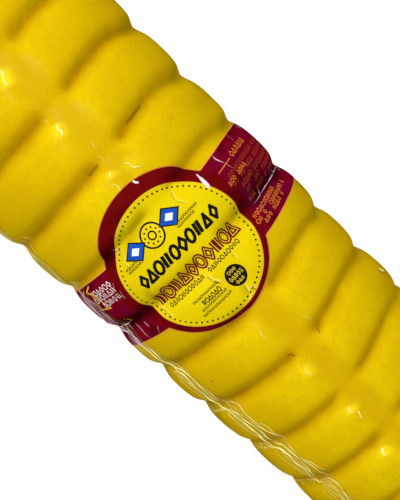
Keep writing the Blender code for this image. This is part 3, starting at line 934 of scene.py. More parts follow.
def rind_material(settings):
    """Waxy yellow rind with faint mottling and specks, painted shade in the rope marks, creases, mark ends,
    flanks and sides, and a painted highlight round the film's glints.
    """
    material, b, out = new_material("rind")
    spot = b.add("ShaderNodeTexCoord").outputs["Object"]
    cloud = b.noise(spot, 34.0, 3.0)
    patch = b.noise(spot, 95.0, 4.0, 0.6)
    grain = b.noise(spot, 300.0, 4.0, 0.65)
    fine = b.noise(spot, 620.0, 3.0, 0.65)
    near_groove = b.math("MULTIPLY_ADD", b.value("tint"), 0.8, 0.2)
    uneven = b.math("MULTIPLY", near_groove, 0.9)
    deep = b.math("MULTIPLY_ADD", b.math("SUBTRACT", patch, 0.5), uneven, b.value("groove"))
    colour = b.blend(b.ramp(cloud, 0.32, 0.68, 0.0, 0.60), tuple(settings.lobe_colour), RIND_CLOUD)
    colour = b.blend(b.ramp(patch, 0.40, 0.68, 0.0, 0.36), colour, RIND_PATCH)
    colour = b.tint(b.value("channel"), 0.8, colour, tuple(settings.channel_colour))
    # Painted shade and bounced light: a brown tint beside the rope marks
    colour = b.tint(b.value("tint"), 0.9, colour, RIND_MARK_SHADE)
    # Painted shade on the flanks and the sides, where less light falls
    colour = b.tint(b.value("flank"), 0.90, colour, RIND_FLANK)
    colour = b.tint(b.value("dim_side"), 0.85, colour, RIND_DIM)
    # Painted shade at the bottom of the rope marks, broken up by the rind's patches
    colour = b.blend(b.ramp(deep, 0.04, 1.0), colour, tuple(settings.groove_shade_colour))
    colour = b.tint(b.value("gleam"), 0.75, colour, RIND_GLEAM)
    # Painted shade along both sides, and in the rope marks on the +Y side
    colour = b.tint(b.value("rim"), b.ramp(patch, 0.30, 0.62, 0.55, 1.0), colour, RIND_RIM)
    colour = b.blend(b.ramp(grain, 0.46, 0.76, 0.0, 0.26), colour, RIND_GRAIN)
    colour = b.blend(b.ramp(fine, 0.40, 0.68, 0.0, 0.22), colour, RIND_FINE_GRAIN)
    # Painted shade at the ends of the rope marks beside the channel and in the rind's short creases
    colour = b.tint(b.value("end"), b.ramp(grain, 0.35, 0.60, 0.30, 0.85), colour, RIND_MARK_END)
    lines = rind_creases(b)
    colour = b.tint(lines, b.ramp(grain, 0.30, 0.62, 0.25, 0.70), colour, RIND_CREASE)
    cells = b.add("ShaderNodeTexVoronoi", {"Vector": spot, "Scale": 95.0})
    shade = b.add("ShaderNodeSeparateColor", {0: cells.outputs["Color"]}).outputs[0]
    chosen = b.math("GREATER_THAN", shade, 0.90)
    near = b.ramp(cells.outputs["Distance"], 0.02, 0.075, 0.75, 0.0)
    colour = b.tint(chosen, near, colour, tuple(settings.speck_colour))
    rough = b.math("MULTIPLY_ADD", patch, 0.5, b.math("MULTIPLY", grain, 0.3))
    height = b.math("MULTIPLY_ADD", lines, -0.6, rough)
    b.matt(out, colour, settings.roughness, {"Normal": b.bump(height, 0.8, 0.0005)})
    return material


# Tones of the film's creases as painted highlight, over the label and in their painted shade, and of the clear
# film itself
CREASE_OVER_LABEL = (0.97, 0.70, 0.80, 1.0)
CREASE_SHADE = (0.17, 0.105, 0.002, 1.0)
CREASE_SHADE_OVER_LABEL = (0.03, 0.001, 0.008, 1.0)
CLEAR_FILM = (0.99, 0.99, 0.97, 1.0)


def film_material(settings, name, haze, gloss_roughness, most_shine, creased=False, milky=None):
    """Clear glossy film, a little milky where folded or sealed. A crease has a side of painted highlight and a
    side of painted shade.
    """
    material, b, out = new_material(name)
    spot = b.add("ShaderNodeTexCoord").outputs["Object"]
    seen = b.math("MULTIPLY", b.value("folded"), haze)
    normal = b.bump(b.noise(spot, 150.0, 2.0, 0.5, 0.6), 0.10, 0.0010)
    fresnel = b.add("ShaderNodeFresnel", {"IOR": settings.bending, "Normal": normal})
    clear = b.add("ShaderNodeBsdfTransparent", {"Color": CLEAR_FILM})
    gloss = b.add("ShaderNodeBsdfGlossy", {"Roughness": gloss_roughness, "Normal": normal})
    haze_and_glint_shader = b.add("ShaderNodeBsdfDiffuse", {"Color": tuple(milky or settings.haze_colour)})
    if creased:
        # Painted highlight along the crease, and painted shade on one side
        over = b.value("over_label")
        pale = b.blend(over, tuple(settings.crease_colour), CREASE_OVER_LABEL)
        dark = b.blend(over, CREASE_SHADE, CREASE_SHADE_OVER_LABEL)
        shaded = b.ramp(b.value("side"), -0.60, -0.20, 1.0, 0.0)
        b.plug(b.blend(shaded, pale, dark), haze_and_glint_shader.inputs[0])
        seen = b.math("MULTIPLY", seen, b.math("MULTIPLY_ADD", shaded, -0.25, 1.0))
    veil = b.add("ShaderNodeMixShader", {0: seen, 1: clear.outputs[0], 2: haze_and_glint_shader.outputs[0]})
    shine = b.math("MINIMUM", b.math("MULTIPLY", fresnel.outputs[0], 0.6), most_shine)
    sheet = b.add("ShaderNodeMixShader", {0: shine, 1: veil.outputs[0], 2: gloss.outputs[0]})
    b.plug(sheet.outputs[0], out.inputs[0])
    return material


# Tones of the printed label beside the colours in its settings, painted sheen, shade and highlights among them,
# and the radii of its yellow disc in mm
MAGENTA_SHEEN = (0.15, 0.001, 0.036, 1.0)
DARK_PATCH = (0.035, 0.0005, 0.003, 1.0)
RED_DIP_SHADE = (0.030, 0.0005, 0.002, 1.0)
CUT_EDGE = (0.75, 0.27, 0.05, 1.0)
DISC_CLOUD = (0.66, 0.515, 0.002, 1.0)
DISC_EDGE = (0.62, 0.32, 0.03, 1.0)
RED_GLEAM = (0.52, 0.10, 0.20, 1.0)
DISC_GLEAM = (0.98, 0.82, 0.14, 1.0)
LABEL_SHADE = (0.34, 0.28, 0.14, 1.0)
WORN_INK = (0.72, 0.68, 0.62, 1.0)
DISC_RADIUS = 31.3
DISC_EDGE_RADIUS = 30.75
PRINT_ROUGHNESS = 0.42


def label_material(settings):
    """Printed label: a dark red medallion and band and a yellow disc, with patches of painted magenta sheen,
    painted shade in the rope marks and crumples, and painted highlights on the crumples.
    """
    material, b, out = new_material("label_paper")
    spot = b.add("ShaderNodeTexCoord").outputs["Object"]
    places = {"Along": b.value("along_mm"), "Round": b.value("round_mm")}
    disc = disc_group()
    medallion = b.group(disc, **places, Centre_along=MEDALLION_CENTRE[0], Centre_round=MEDALLION_CENTRE[1],
                        Radius=settings.medallion_radius / MM)
    yellow = b.group(disc, **places, Centre_along=DISC_CENTRE, Radius=DISC_RADIUS)
    rim = b.group(disc, **places, Centre_along=DISC_CENTRE, Radius=DISC_EDGE_RADIUS)
    groove = b.value("groove")
    red = b.blend(medallion, tuple(settings.band_colour), tuple(settings.ring_colour))
    on_band = b.math("MULTIPLY_ADD", medallion, -0.85, 1.0)
    # Painted sheen: magenta patches, mostly on the band, stand in for reflected light
    red = b.tint(b.ramp(b.noise(spot, 70.0, 3.0, 0.6), 0.48, 0.70), on_band, red, MAGENTA_SHEEN)
    red = b.blend(b.ramp(b.noise(spot, 48.0, 4.0, 0.65), 0.50, 0.70, 0.0, 0.8), red, DARK_PATCH)
    # Painted shade where the label dips into the rope marks, strong on the red print
    red = b.tint(groove, b.ramp(b.noise(spot, 80.0, 3.0), 0.25, 0.60, 0.35, 0.95), red, RED_DIP_SHADE)
    fainter = b.math("MULTIPLY_ADD", medallion, -0.30, 0.90)
    colour = b.tint(b.ramp(b.value("edge_mm"), 0.30, 0.52, 1.0, 0.0), fainter, red, CUT_EDGE)
    cloud = b.ramp(b.noise(spot, 60.0, 3.0), 0.35, 0.65)
    colour = b.blend(yellow, colour, b.blend(cloud, tuple(settings.disc_colour), DISC_CLOUD))
    colour = b.tint(b.math("SUBTRACT", yellow, rim), 0.45, colour, DISC_EDGE)
    colour = b.tint(b.value("light"), 0.8, colour, b.blend(yellow, RED_GLEAM, DISC_GLEAM))
    # Painted shade where the label dips into the rope marks over the yellow disc, and on the crumples' dark
    # sides
    dip_shade = b.ramp(b.noise(spot, 110.0, 3.0), 0.30, 0.65, 0.05, 0.45)
    dip_shade = b.math("MULTIPLY", b.math("MULTIPLY", groove, yellow), dip_shade)
    shade = b.math("MAXIMUM", b.value("dark"), dip_shade)
    colour = b.blend(shade, colour, b.blend(1.0, colour, LABEL_SHADE, "MULTIPLY"))
    uneven = b.bump(b.noise(spot, 120.0, 3.0, 0.55, 0.8), 0.35, 0.0008)
    b.matt(out, colour, PRINT_ROUGHNESS, {"Normal": uneven})
    return material


def ink_material(name, tone):
    """Printing ink of one colour, a little uneven."""
    material, b, out = new_material(name)
    spot = b.add("ShaderNodeTexCoord").outputs["Object"]
    worn = b.blend(1.0, tone, WORN_INK, "MULTIPLY")
    colour = b.blend(b.ramp(b.noise(spot, 240.0, 3.0), 0.40, 0.70, 0.0, 0.8), tone, worn)
    b.matt(out, colour, PRINT_ROUGHNESS)
    return material


class Ink:
    """Collects the flat shapes of one printing ink, in mm across the label and round it."""

    def __init__(self, seed):
        self.points = []
        self.faces = []
        self.count = 0
        self.draw = random.Random(seed)

    def band(self, first, second, steps):
        """The surface between two lines of places."""
        first, second = np.asarray(first, float), np.asarray(second, float)
        share = np.linspace(0.0, 1.0, steps + 1)[:, None, None]
        rows = first[None] * (1.0 - share) + second[None] * share
        self.faces.append(grid_faces(steps + 1, len(first)) + self.count)
        self.count += rows.shape[0] * rows.shape[1]
        self.points.append(rows.reshape(-1, 2))

    def stroke(self, start, end, width):
        """A straight stroke with square ends."""
        start, end = np.array(start), np.array(end)
        run = end - start
        length = float(np.hypot(*run))
        side = np.array((-run[1], run[0])) / length * width / 2.0
        line = start + run * np.linspace(0.0, 1.0, max(2, math.ceil(length / 0.7) + 1))[:, None]
        self.band(line - side, line + side, max(1, math.ceil(width / 0.8)))

    def outline(self, corners, width):
        """A closed outline of straight strokes."""
        for start, end in zip(corners, [*corners[1:], corners[0]]):
            run = np.array(end) - np.array(start)
            reach = run / np.hypot(*run) * width * 0.4
            self.stroke(np.array(start) - reach, np.array(end) + reach, width)

    def ring(self, centre, radius, width):
        """An oval ring whose radius is given both ways."""
        turn = np.linspace(0.0, 2.0 * math.pi, max(9, round(sum(radius) * 4.0)))
        unit = np.stack([np.cos(turn), np.sin(turn)], axis=-1)
        radius = np.array(radius)
        self.band(centre + unit * (radius - width / 2.0), centre + unit * (radius + width / 2.0), 1)

    def spot(self, centre, radius, corners=0):
        """A filled round spot, or a filled lozenge with four corners."""
        count = corners * 6 or max(9, round(sum(radius) * 4.0))
        turn = np.linspace(0.0, 2.0 * math.pi, count + 1)
        unit = np.stack([np.cos(turn), np.sin(turn)], axis=-1)
        if corners:
            unit = unit / np.abs(unit).sum(axis=-1, keepdims=True)
        edge = centre + unit * np.array(radius)
        heart = np.repeat([centre], len(edge), axis=0) + unit * 0.02
        self.band(heart, edge, max(1, math.ceil(max(radius) / 0.9)))

    def row(self, centre, half, start, end, pitch, width, slant=0.0, gaps=0.0):
        """A row of simple drawn shapes: rings, lozenges, triangles and pairs of bars, with some left out."""
        last = None
        for number in range(max(1, round((end - start) / pitch))):
            if self.draw.random() < gaps:
                continue
            kind = self.draw.choice([kind for kind in range(4) if kind != last])
            last = kind
            middle = start + (number + 0.5) * pitch
            wide = pitch * self.draw.uniform(0.34, 0.42)

            def at(u, v):
                return centre + v * half, middle + u * wide - v * half * slant

            if kind == 0:
                turns = np.linspace(0.0, 2.0 * math.pi, 13)[:-1]
                self.outline([at(math.sin(t), math.cos(t)) for t in turns], width)
            elif kind == 1:
                self.outline([at(0.0, -1.0), at(1.0, 0.0), at(0.0, 1.0), at(-1.0, 0.0)], width)
            elif kind == 2:
                self.outline([at(0.0, -0.9), at(0.95, 0.9), at(-0.95, 0.9)], width)
            else:
                self.stroke(at(-0.6, -1.0), at(-0.6, 1.0), width * 1.2)
                self.stroke(at(0.5, -1.0), at(0.5, 1.0), width * 1.2)


def printed_inks(settings):
    """All the label's print: the name, colour, lift in mm and shapes of each ink."""
    black, brown, blue, white, maroon, gold, faint, orange, code, mark = (Ink(seed) for seed in range(60, 70))
    for n in range(80):
        turn = 2.0 * math.pi * n / 80
        black.spot((DISC_CENTRE + 29.4 * math.cos(turn), 29.4 * math.sin(turn)), (0.46, 0.46))
    black.row(-3.7, 2.7, -23.2, 23.4, 4.66, 1.35, 0.25)
    for start, end in ((-22.5, -1.6), (1.2, 19.7)):
        black.row(11.7, 0.95, start, end, 1.9, 0.36)
    black.row(19.7, 1.1, -10.8, -0.4, 1.75, 0.42)
    black.spot((20.9, 8.0), (4.8, 4.8))
    for centre, start, end in ((17.1, -13.8, 0.8), (21.8, -13.3, 1.3), (23.9, -14.7, 1.7), (-11.2, 5.8, 18.6),
                               (-9.6, 6.0, 16.0), (-12.3, -23.4, -15.4), (-10.7, -23.2, -14.2)):
        brown.row(centre, 0.55, start, end, 1.10, 0.26)
    maroon.row(6.6, 2.75, -26.0, 24.6, 5.06, 1.75)
    # The thin gold shapes repeat the maroon ones, so they are drawn with the same seed
    gold.draw = random.Random(64)
    gold.row(6.6, 2.75, -26.0, 24.6, 5.06, 0.40)
    for offset in (-13.9, 6.8):
        black.spot((-15.2, offset), (4.9, 6.2), 4)
        blue.spot((-15.2, offset), (4.2, 5.3), 4)
        white.spot((-15.2, offset), (1.9, 2.5), 4)
    black.ring((-15.0, -3.6), (5.2, 5.2), 0.8)
    black.ring((-15.0, -3.6), (1.7, 1.7), 0.7)
    for n in range(10):
        turn = 2.0 * math.pi * n / 10
        black.spot((-15.0 + 3.4 * math.cos(turn), -3.6 + 3.4 * math.sin(turn)), (0.45, 0.45))
    for centre, half, start, end in ((20.9, 1.0, 4.2, 11.8), (18.3, 0.7, 5.6, 10.4), (23.5, 0.7, 5.6, 10.4)):
        gold.row(centre, half, start, end, 1.55, 0.32)
    for n, centre in enumerate((-8.0, -4.6, -1.3, 1.8, 5.0)):
        faint.row(centre, 1.0, 36.0 + 0.9 * n, 88.0 - n, 2.1, 0.27, gaps=0.12)
    for n, centre in enumerate((10.5, 12.9, 15.2)):
        orange.row(centre, 0.90, 30.5 + n, 56.0 + 9.0 * (n % 2), 2.1, 0.28, gaps=0.15)
    for start, end in ((35.0, 41.0), (43.0, 52.0)):
        orange.row(-5.9, 0.95, start, end, 2.0, 0.28)
    orange.row(-12.4, 1.30, 48.0, 66.0, 2.9, 0.34, 0.1)
    orange.stroke((-12.0, 35.6), (-12.0, 46.3), 0.40)
    for centre, start, end in ((-13.2, -49.5, -34.5), (-10.0, -53.0, -35.0), (-6.4, -50.0, -35.5)):
        code.row(centre, 1.35, start, end, 3.1, 0.36, -0.15)
    mark.outline([(-14.5, -50.5), (-3.8, -46.5), (-5.2, -54.5)], 0.75)
    for path in (((-16.8, -57.0), (-15.0, -61.5), (-6.0, -62.5)),
                 ((-17.5, -49.5), (-15.6, -54.5), (-13.8, -51.0))):
        for start, end in zip(path, path[1:]):
            mark.stroke(start, end, 0.75)
    return (
        ("black", tuple(settings.ink_colour), 0.0, black),
        ("brown", (0.09, 0.065, 0.006, 1.0), 0.0, brown),
        ("maroon", (0.14, 0.008, 0.006, 1.0), 0.0, maroon),
        ("blue", tuple(settings.blue_colour), 0.010, blue),
        ("white", (0.74, 0.82, 0.92, 1.0), 0.020, white),
        ("gold", (0.60, 0.44, 0.03, 1.0), 0.012, gold),
        ("faint_orange", (0.30, 0.050, 0.010, 1.0), 0.0, faint),
        ("orange", tuple(settings.orange_colour), 0.0, orange),
        ("code", (0.90, 0.78, 0.82, 1.0), 0.0, code),
        ("mark", (0.70, 0.42, 0.04, 1.0), 0.006, mark),
    )


class CHEESE_OT_bar(bpy.types.Operator):
    """Builds the cheese bar with its lobes, rope marks and channels"""

    bl_idname = "cheese.bar"
    bl_label = "Cheese bar"

    def execute(self, context):
        settings = context.scene.cheese_settings
        xs = stations(settings.mesh_step * 0.7)
        columns = round(2.0 * math.pi * BAR_RADIUS / (settings.mesh_step * 1.4))
        angles = np.arange(columns) * (2.0 * math.pi / columns)
        x, angle = np.meshgrid(xs, angles, indexing="ij")
        signed, near = turn_offset(x, angle)
        apart = np.abs(channel_offset(x, angle))
        radius = (base_radius(x) - relief(x, angle)) * cap_factor(x) - RIND_INSET
        points = place(x, angle, np.maximum(radius, LEAST_RIND_RADIUS))
        points[..., 0] -= TIP_INSET * np.sign(x) * (1.0 - cap_factor(x))
        points[..., 2] = np.maximum(points[..., 2], RIND_OFF_FLOOR)
        level = np.sin(angle)
        fade = smoothstep(*CHANNEL_FADE, apart)
        # Weight of the extra painted shade towards the thicker end
        thick_end_weight = smoothstep(THICK_END_START, THICK_END_FULL, x)
        # Painted shade in the rope marks: weaker on the +Y flank, stronger towards the thicker end, and faded
        # across the channels
        shaded = (1.0 - smoothstep(0.30, 0.80, level)) * (1.0 - 0.25 * smoothstep(0.05, 0.30, level))
        mild = np.maximum(0.45 + 0.55 * shaded, 0.95 * thick_end_weight)
        groove = sum(share * bell(signed - middle, width) for share, middle, width in MARK_SHADES)
        depth = TURN_DEPTHS[near]
        reach = np.where(signed < TINT_MIDDLE, *TINT_REACH) * (1.0 + 0.40 * thick_end_weight)
        tint = mild * bell(signed - TINT_MIDDLE, reach) * (0.25 + 0.75 * fade)
        # Painted shade where each rope mark ends beside a channel
        end = np.exp(-(((apart - 0.0095) / 0.0026) ** 2) - ((signed - 0.0004) / 0.0014) ** 2)
        turns = x / TURN_PITCH
        # Painted shade on both flanks and sides, where less light falls, and in the rope marks on the +Y side
        # of the thicker half
        flank = smoothstep(0.60, 0.95, level) * np.clip(0.75 + 0.25 * np.sin(9.0 * turns), 0.0, 1.0)
        dim = smoothstep(0.28, 0.62, -level) + 0.5 * smoothstep(0.15, 0.40, level) + 0.20 * thick_end_weight
        edge = smoothstep(0.90, 0.995, np.abs(level)) * (0.75 + 0.25 * np.sin(5.0 * turns + angle))
        flank_mark_shade = smoothstep(0.78, 0.93, level) * bell(signed + 0.001, 0.0042) * smoothstep(0.06, 0.0, x)
        faces = grid_faces(len(xs), columns, closed=True)
        add_piece("cheese_bar", points, faces, rind_material(settings), BAR_NODE,
                  groove=mild * groove * fade * (0.9 + 0.15 * depth + 0.12 * thick_end_weight),
                  tint=tint * (1.0 + 0.25 * thick_end_weight),
                  end=end * np.clip(0.5 + 0.8 * depth * np.cos(3.0 * angle), 0.1, 1.0),
                  channel=1.0 - smoothstep(CHANNEL_FLOOR * 0.8, CHANNEL_EDGE, apart),
                  flank=flank + 0.45 * smoothstep(0.74, 0.92, -level),
                  dim_side=dim,
                  rim=np.maximum(np.where(level < 0.0, 0.85, 0.62) * edge, 0.60 * flank_mark_shade),
                  gleam=self.gleam(points[..., 0], angle),
                  along_mm=points[..., 0] / MM,
                  round_mm=wrapped(angle) * BAR_RADIUS / MM)
        return {"FINISHED"}

    def gleam(self, along, angle):
        """How much the light caught by the film brightens each place round its strong glints."""
        found = np.zeros(along.shape)
        arc = wrapped(angle) * BAR_RADIUS
        for strength, width, _, path in FILM_CREASES:
            if strength >= GLINT_STRENGTH and abs(path[0][1]) < GLINT_ANGLE:
                near = ridge(along, arc, arc_place(*path[0]), arc_place(*path[-1]), GLINT_REACH)
                found = np.maximum(found, min(1.0, width) * near)
        return found


class CHEESE_OT_label(bpy.types.Operator):
    """Builds the label and its print, wrapped over the bar just under the film"""

    bl_idname = "cheese.label"
    bl_label = "Label"

    def execute(self, context):
        settings = context.scene.label_settings
        half = settings.band_width / 2.0
        radius = settings.medallion_radius
        middle_x, middle_y = MEDALLION_CENTRE[0] * MM, MEDALLION_CENTRE[1] * MM
        inner = linspace_steps(-radius, radius, MEDALLION_STEP)
        arm = linspace_steps(radius, BAND_HALF_LENGTH, BAND_STEP)[1:]
        rows = np.concatenate([-arm[::-1], inner, arm])
        into = np.clip(np.abs(rows) - (BAND_HALF_LENGTH - BAND_CORNER), 0.0, BAND_CORNER)
        band = half - (BAND_CORNER - np.sqrt(BAND_CORNER**2 - into**2))
        round_part = np.sqrt(np.clip(radius**2 - (rows - middle_y) ** 2, 0.0, None))
        low = np.minimum(-band, middle_x - round_part)
        high = np.maximum(band, middle_x + round_part)
        share = np.linspace(0.0, 1.0, LABEL_COLUMNS)
        flat_x = low[:, None] + (high - low)[:, None] * share[None, :]
        flat_y = np.repeat(rows[:, None], share.size, axis=1)
        dark, light = self.creases(flat_x / MM, flat_y / MM)
        points = self.wrap(context, flat_x, flat_y, LABEL_UNDER_FILM + CRUMPLE_DEPTH * (dark - light))
        in_band = np.minimum(half - np.abs(flat_x), BAND_HALF_LENGTH - np.abs(flat_y))
        in_medallion = radius - np.hypot(flat_x - middle_x, flat_y - middle_y)
        x, angle = self.on_bar(flat_x, flat_y)
        signed, _ = turn_offset(x, angle)
        away = smoothstep(0.004, 0.016, np.abs(channel_offset(x, angle)))
        add_piece("printed_label", points, grid_faces(*flat_x.shape), label_material(settings), LABEL_NODE,
                  along_mm=flat_x / MM,
                  round_mm=flat_y / MM,
                  edge_mm=np.maximum(in_band, in_medallion) / MM,
                  # Painted shade where the label dips into the rope marks
                  groove=bell(signed, LABEL_MARK_WIDTH) * away,
                  dark=dark,
                  light=light)
        for name, tone, lift, ink in printed_inks(settings):
            flat = np.vstack(ink.points) * MM
            points = self.wrap(context, flat[:, 0], flat[:, 1], LABEL_UNDER_FILM - INK_LIFT - lift * MM)
            material = ink_material("ink_" + name, tone)
            add_piece("print_" + name, points, np.vstack(ink.faces), material, LABEL_NODE)
        return {"FINISHED"}

    def on_bar(self, across, along):
        """Where a place on the flat label lies along the bar and round it."""
        drift = np.interp(along / MM, DRIFT_ROUND, DRIFT) * MM
        return LABEL_CENTRE_X + across + drift, LABEL_ANGLE + along / LABEL_WRAP_RADIUS

    def wrap(self, context, across, along, sink):
        """Points of the flat label laid on the bar, this far under the film."""
        x, angle = self.on_bar(across, along)
        return place(x, angle, film_radius(x, angle, context.scene.film_settings.follow) - sink)

    def creases(self, across, along):
        """How much the painted shade and highlight of the crumples darken and lighten each place, from 0 to 1.
        """
        dark, light = np.zeros(across.shape), np.zeros(across.shape)
        for x0, y0, x1, y1, width, strength in LABEL_CREASES:
            start, end = np.array((x0, y0)), np.array((x1, y1))
            if width > WIDEST_CRUMPLE:
                dark = np.maximum(dark, 0.75 * strength * ridge(across, along, start, end, width * 0.6))
                continue
            side = np.array((y1 - y0, x0 - x1)) / math.hypot(x1 - x0, y1 - y0) * width * 0.35
            dark = np.maximum(dark, strength * ridge(across, along, start + side, end + side, width * 0.55))
            light = np.maximum(light, strength * ridge(across, along, start - side, end - side, width * 0.48))
        return np.minimum(1.3 * dark, 1.0), np.minimum(1.3 * light, 1.0)


class CHEESE_OT_film(bpy.types.Operator):
    """Builds the clear film round the bar, as an upper and a lower sheet that meet at the side pleats"""

    bl_idname = "cheese.film"
    bl_label = "Film"

    def execute(self, context):
        settings = context.scene.film_settings
        material = film_material(settings, "film", 0.35, settings.smooth_roughness, 0.035)
        for name, turned, step in (("film_upper", 0.0, 1.0), ("film_lower", math.pi, 2.0)):
            xs = stations(settings.mesh_step * step)
            share = linspace_steps(0.0, math.pi, settings.mesh_step * step / BAR_RADIUS)
            x = np.repeat(xs[:, None], share.size, axis=1)
            angle = wrapped(pleat_angle(xs)[:, None] + turned + share[None, :])
            points = place(x, angle, np.maximum(film_radius(x, angle, settings.follow), LEAST_FILM_RADIUS))
            add_piece(name, points, grid_faces(*x.shape), material, BAR_NODE, folded=np.zeros(x.shape))
        return {"FINISHED"}


class CHEESE_OT_pleats(bpy.types.Operator):
    """Builds the two side pleats, where the flat tube of film was creased"""

    bl_idname = "cheese.pleats"
    bl_label = "Side pleats"

    def execute(self, context):
        settings = context.scene.film_settings
        material = film_material(settings, "folded_film", 0.60, settings.smooth_roughness, 0.035)
        sides = (("film_pleat_front", 0.0, PLEAT_SEEDS[0]), ("film_pleat_back", math.pi, PLEAT_SEEDS[1]))
        for name, turned, seed in sides:
            xs = linspace_steps(-PLEAT_REACH, PLEAT_REACH, PLEAT_STEP)
            across = np.linspace(-PLEAT_HALF_WIDTH, PLEAT_HALF_WIDTH, PLEAT_COLUMNS)
            x, t = np.meshgrid(xs, across, indexing="ij")
            angle = pleat_angle(x) + turned + t / BAR_RADIUS
            edge = 1.0 - smoothstep(PLEAT_FLAT_HALF_WIDTH, PLEAT_HALF_WIDTH, np.abs(t))
            ribs = PLEAT_RIB_HEIGHT * np.sin(x / PLEAT_RIB_LENGTH + 3.0 * waves(x, t, 0.010, seed)) * edge
            lift = LEAST_PLEAT_LIFT + PLEAT_LIFT * edge + ribs
            points = place(x, angle, film_radius(x, angle, settings.follow * 0.92) + lift)
            add_piece(name, points, grid_faces(*x.shape), material, BAR_NODE, folded=0.06 * edge)
        return {"FINISHED"}


class CHEESE_OT_creases(bpy.types.Operator):
    """Builds the fine creases of the film along the pleats, the channel and the label, coloured as painted
    highlights with a side of painted shade
    """

    bl_idname = "cheese.creases"
    bl_label = "Film creases"

    def execute(self, context):
        settings = context.scene.film_settings
        material = film_material(settings, "creased_film", 1.0, settings.gloss_roughness, 0.03, True)
        seen_ones = [*BAND_STRANDS, *strands_on_film(), *FILM_CREASES]
        pieces = (("film_creases", CREASE_STEP, seen_ones),
                  ("film_pleat_strands", STRAND_STEP, self.strands()),
                  ("film_groove_ribs", CREASE_STEP, self.ribs()))
        for name, step, creases in pieces:
            points, faces, seen, sides, count = [], [], [], [], 0
            for seed, (strength, width, height, path) in enumerate(creases, CREASE_SEED):
                strip, shown, side = crease_strip(path, strength, width, height, settings.follow, seed, step)
                faces.append(grid_faces(*shown.shape) + count)
                count += shown.size
                points.append(strip.reshape(-1, 3))
                seen.append(shown.ravel())
                sides.append(side.ravel())
            spots = np.vstack(points)
            # How strongly each crease's painted highlight and shade show
            add_piece(name, spots, np.vstack(faces), material, BAR_NODE, folded=np.concatenate(seen),
                      side=np.concatenate(sides), over_label=self.over_label(spots))
        return {"FINISHED"}

    def over_label(self, points):
        """1 for points above the label, 0 for points above the bare rind."""
        sizes = bpy.context.scene.label_settings
        angle = np.arctan2(points[:, 1], points[:, 2] - BAR_RADIUS)
        along = (angle - LABEL_ANGLE) * LABEL_WRAP_RADIUS
        across = points[:, 0] - LABEL_CENTRE_X - np.interp(along / MM, DRIFT_ROUND, DRIFT) * MM
        on_band = (np.abs(across) < sizes.band_width / 2.0) & (np.abs(along) < BAND_HALF_LENGTH)
        return np.maximum(on_band, np.hypot(across, along) < sizes.medallion_radius).astype(float)

    def strands(self):
        """Loose strands of the film: long ones, arcs between two rope marks, and gathers at the ends."""
        draw = random.Random(STRAND_SEED)
        found = []
        for turned, low, high in ((0.0, -222.0, -30.0), (0.0, 112.0, 222.0), (180.0, -222.0, 222.0)):
            share = 1.0 if turned else 0.6
            for offset, strength, width in ((-5.5, 0.85, 0.45), (-2.0, 0.65, 0.35), (2.5, 0.45, 0.30)):
                shift = offset
                path = []
                for x in np.arange(low, high + 1.0, 8.0):
                    shift = 0.7 * shift + 0.3 * offset + draw.uniform(-1.6, 1.6)
                    path.append((x, pleat_degrees(x) + turned + shift))
                found.append((strength * share, width, width, path))
        for turned in (0.0, 180.0):
            for start, end in zip(TURNS / MM, TURNS[1:] / MM):
                for number in range(6):
                    first = -7.0 + draw.uniform(-2.5, 2.5)
                    last = -6.0 + draw.uniform(-2.5, 2.5)
                    bulge = -1.0 + 2.2 * number + draw.uniform(-1.0, 1.0)
                    path = []
                    for t in np.linspace(draw.uniform(0.0, 0.12), 1.0 - draw.uniform(0.0, 0.12), 6):
                        x = start + 1.0 + (end - start) * float(t)
                        offset = first + (last - first) * t + bulge * math.sin(math.pi * t)
                        path.append((x, pleat_degrees(x) + turned + (offset + draw.uniform(-0.5, 0.5))))
                    found.append((draw.uniform(0.25, 0.60), draw.uniform(0.22, 0.38), 0.25, path))
        for side in (-1.0, 1.0):
            for number in range(18):
                turned = 20.0 * number + draw.uniform(-8.0, 8.0)
                xs = (draw.uniform(213.0, 222.0), 231.0, 236.5, 239.2)
                path = [(side * x, turned + draw.uniform(-3.0, 3.0)) for x in xs]
                found.append((draw.uniform(0.20, 0.50), draw.uniform(0.35, 0.60), 0.4, path))
        return found

    def ribs(self):
        """Short ribs where the film puckers across the rope marks, on both flanks of the bar."""
        draw = random.Random(RIB_SEED)
        found = []
        for turn in TURNS / MM:
            for side in (-1.0, 1.0):
                for _ in range(9):
                    angle = side * draw.uniform(60.0, 86.0)
                    x = turn + draw.uniform(-1.6, 1.6)
                    half = draw.uniform(0.9, 2.4)
                    lean = draw.uniform(-1.6, 1.6)
                    middle = (x, angle + draw.uniform(-0.6, 0.6))
                    path = ((x - half, angle - lean), middle, (x + half, angle + lean))
                    strength = draw.uniform(0.30, 0.80) * (0.7 - 0.3 * side)
                    found.append((strength, draw.uniform(0.14, 0.24), 0.15, path))
        return found


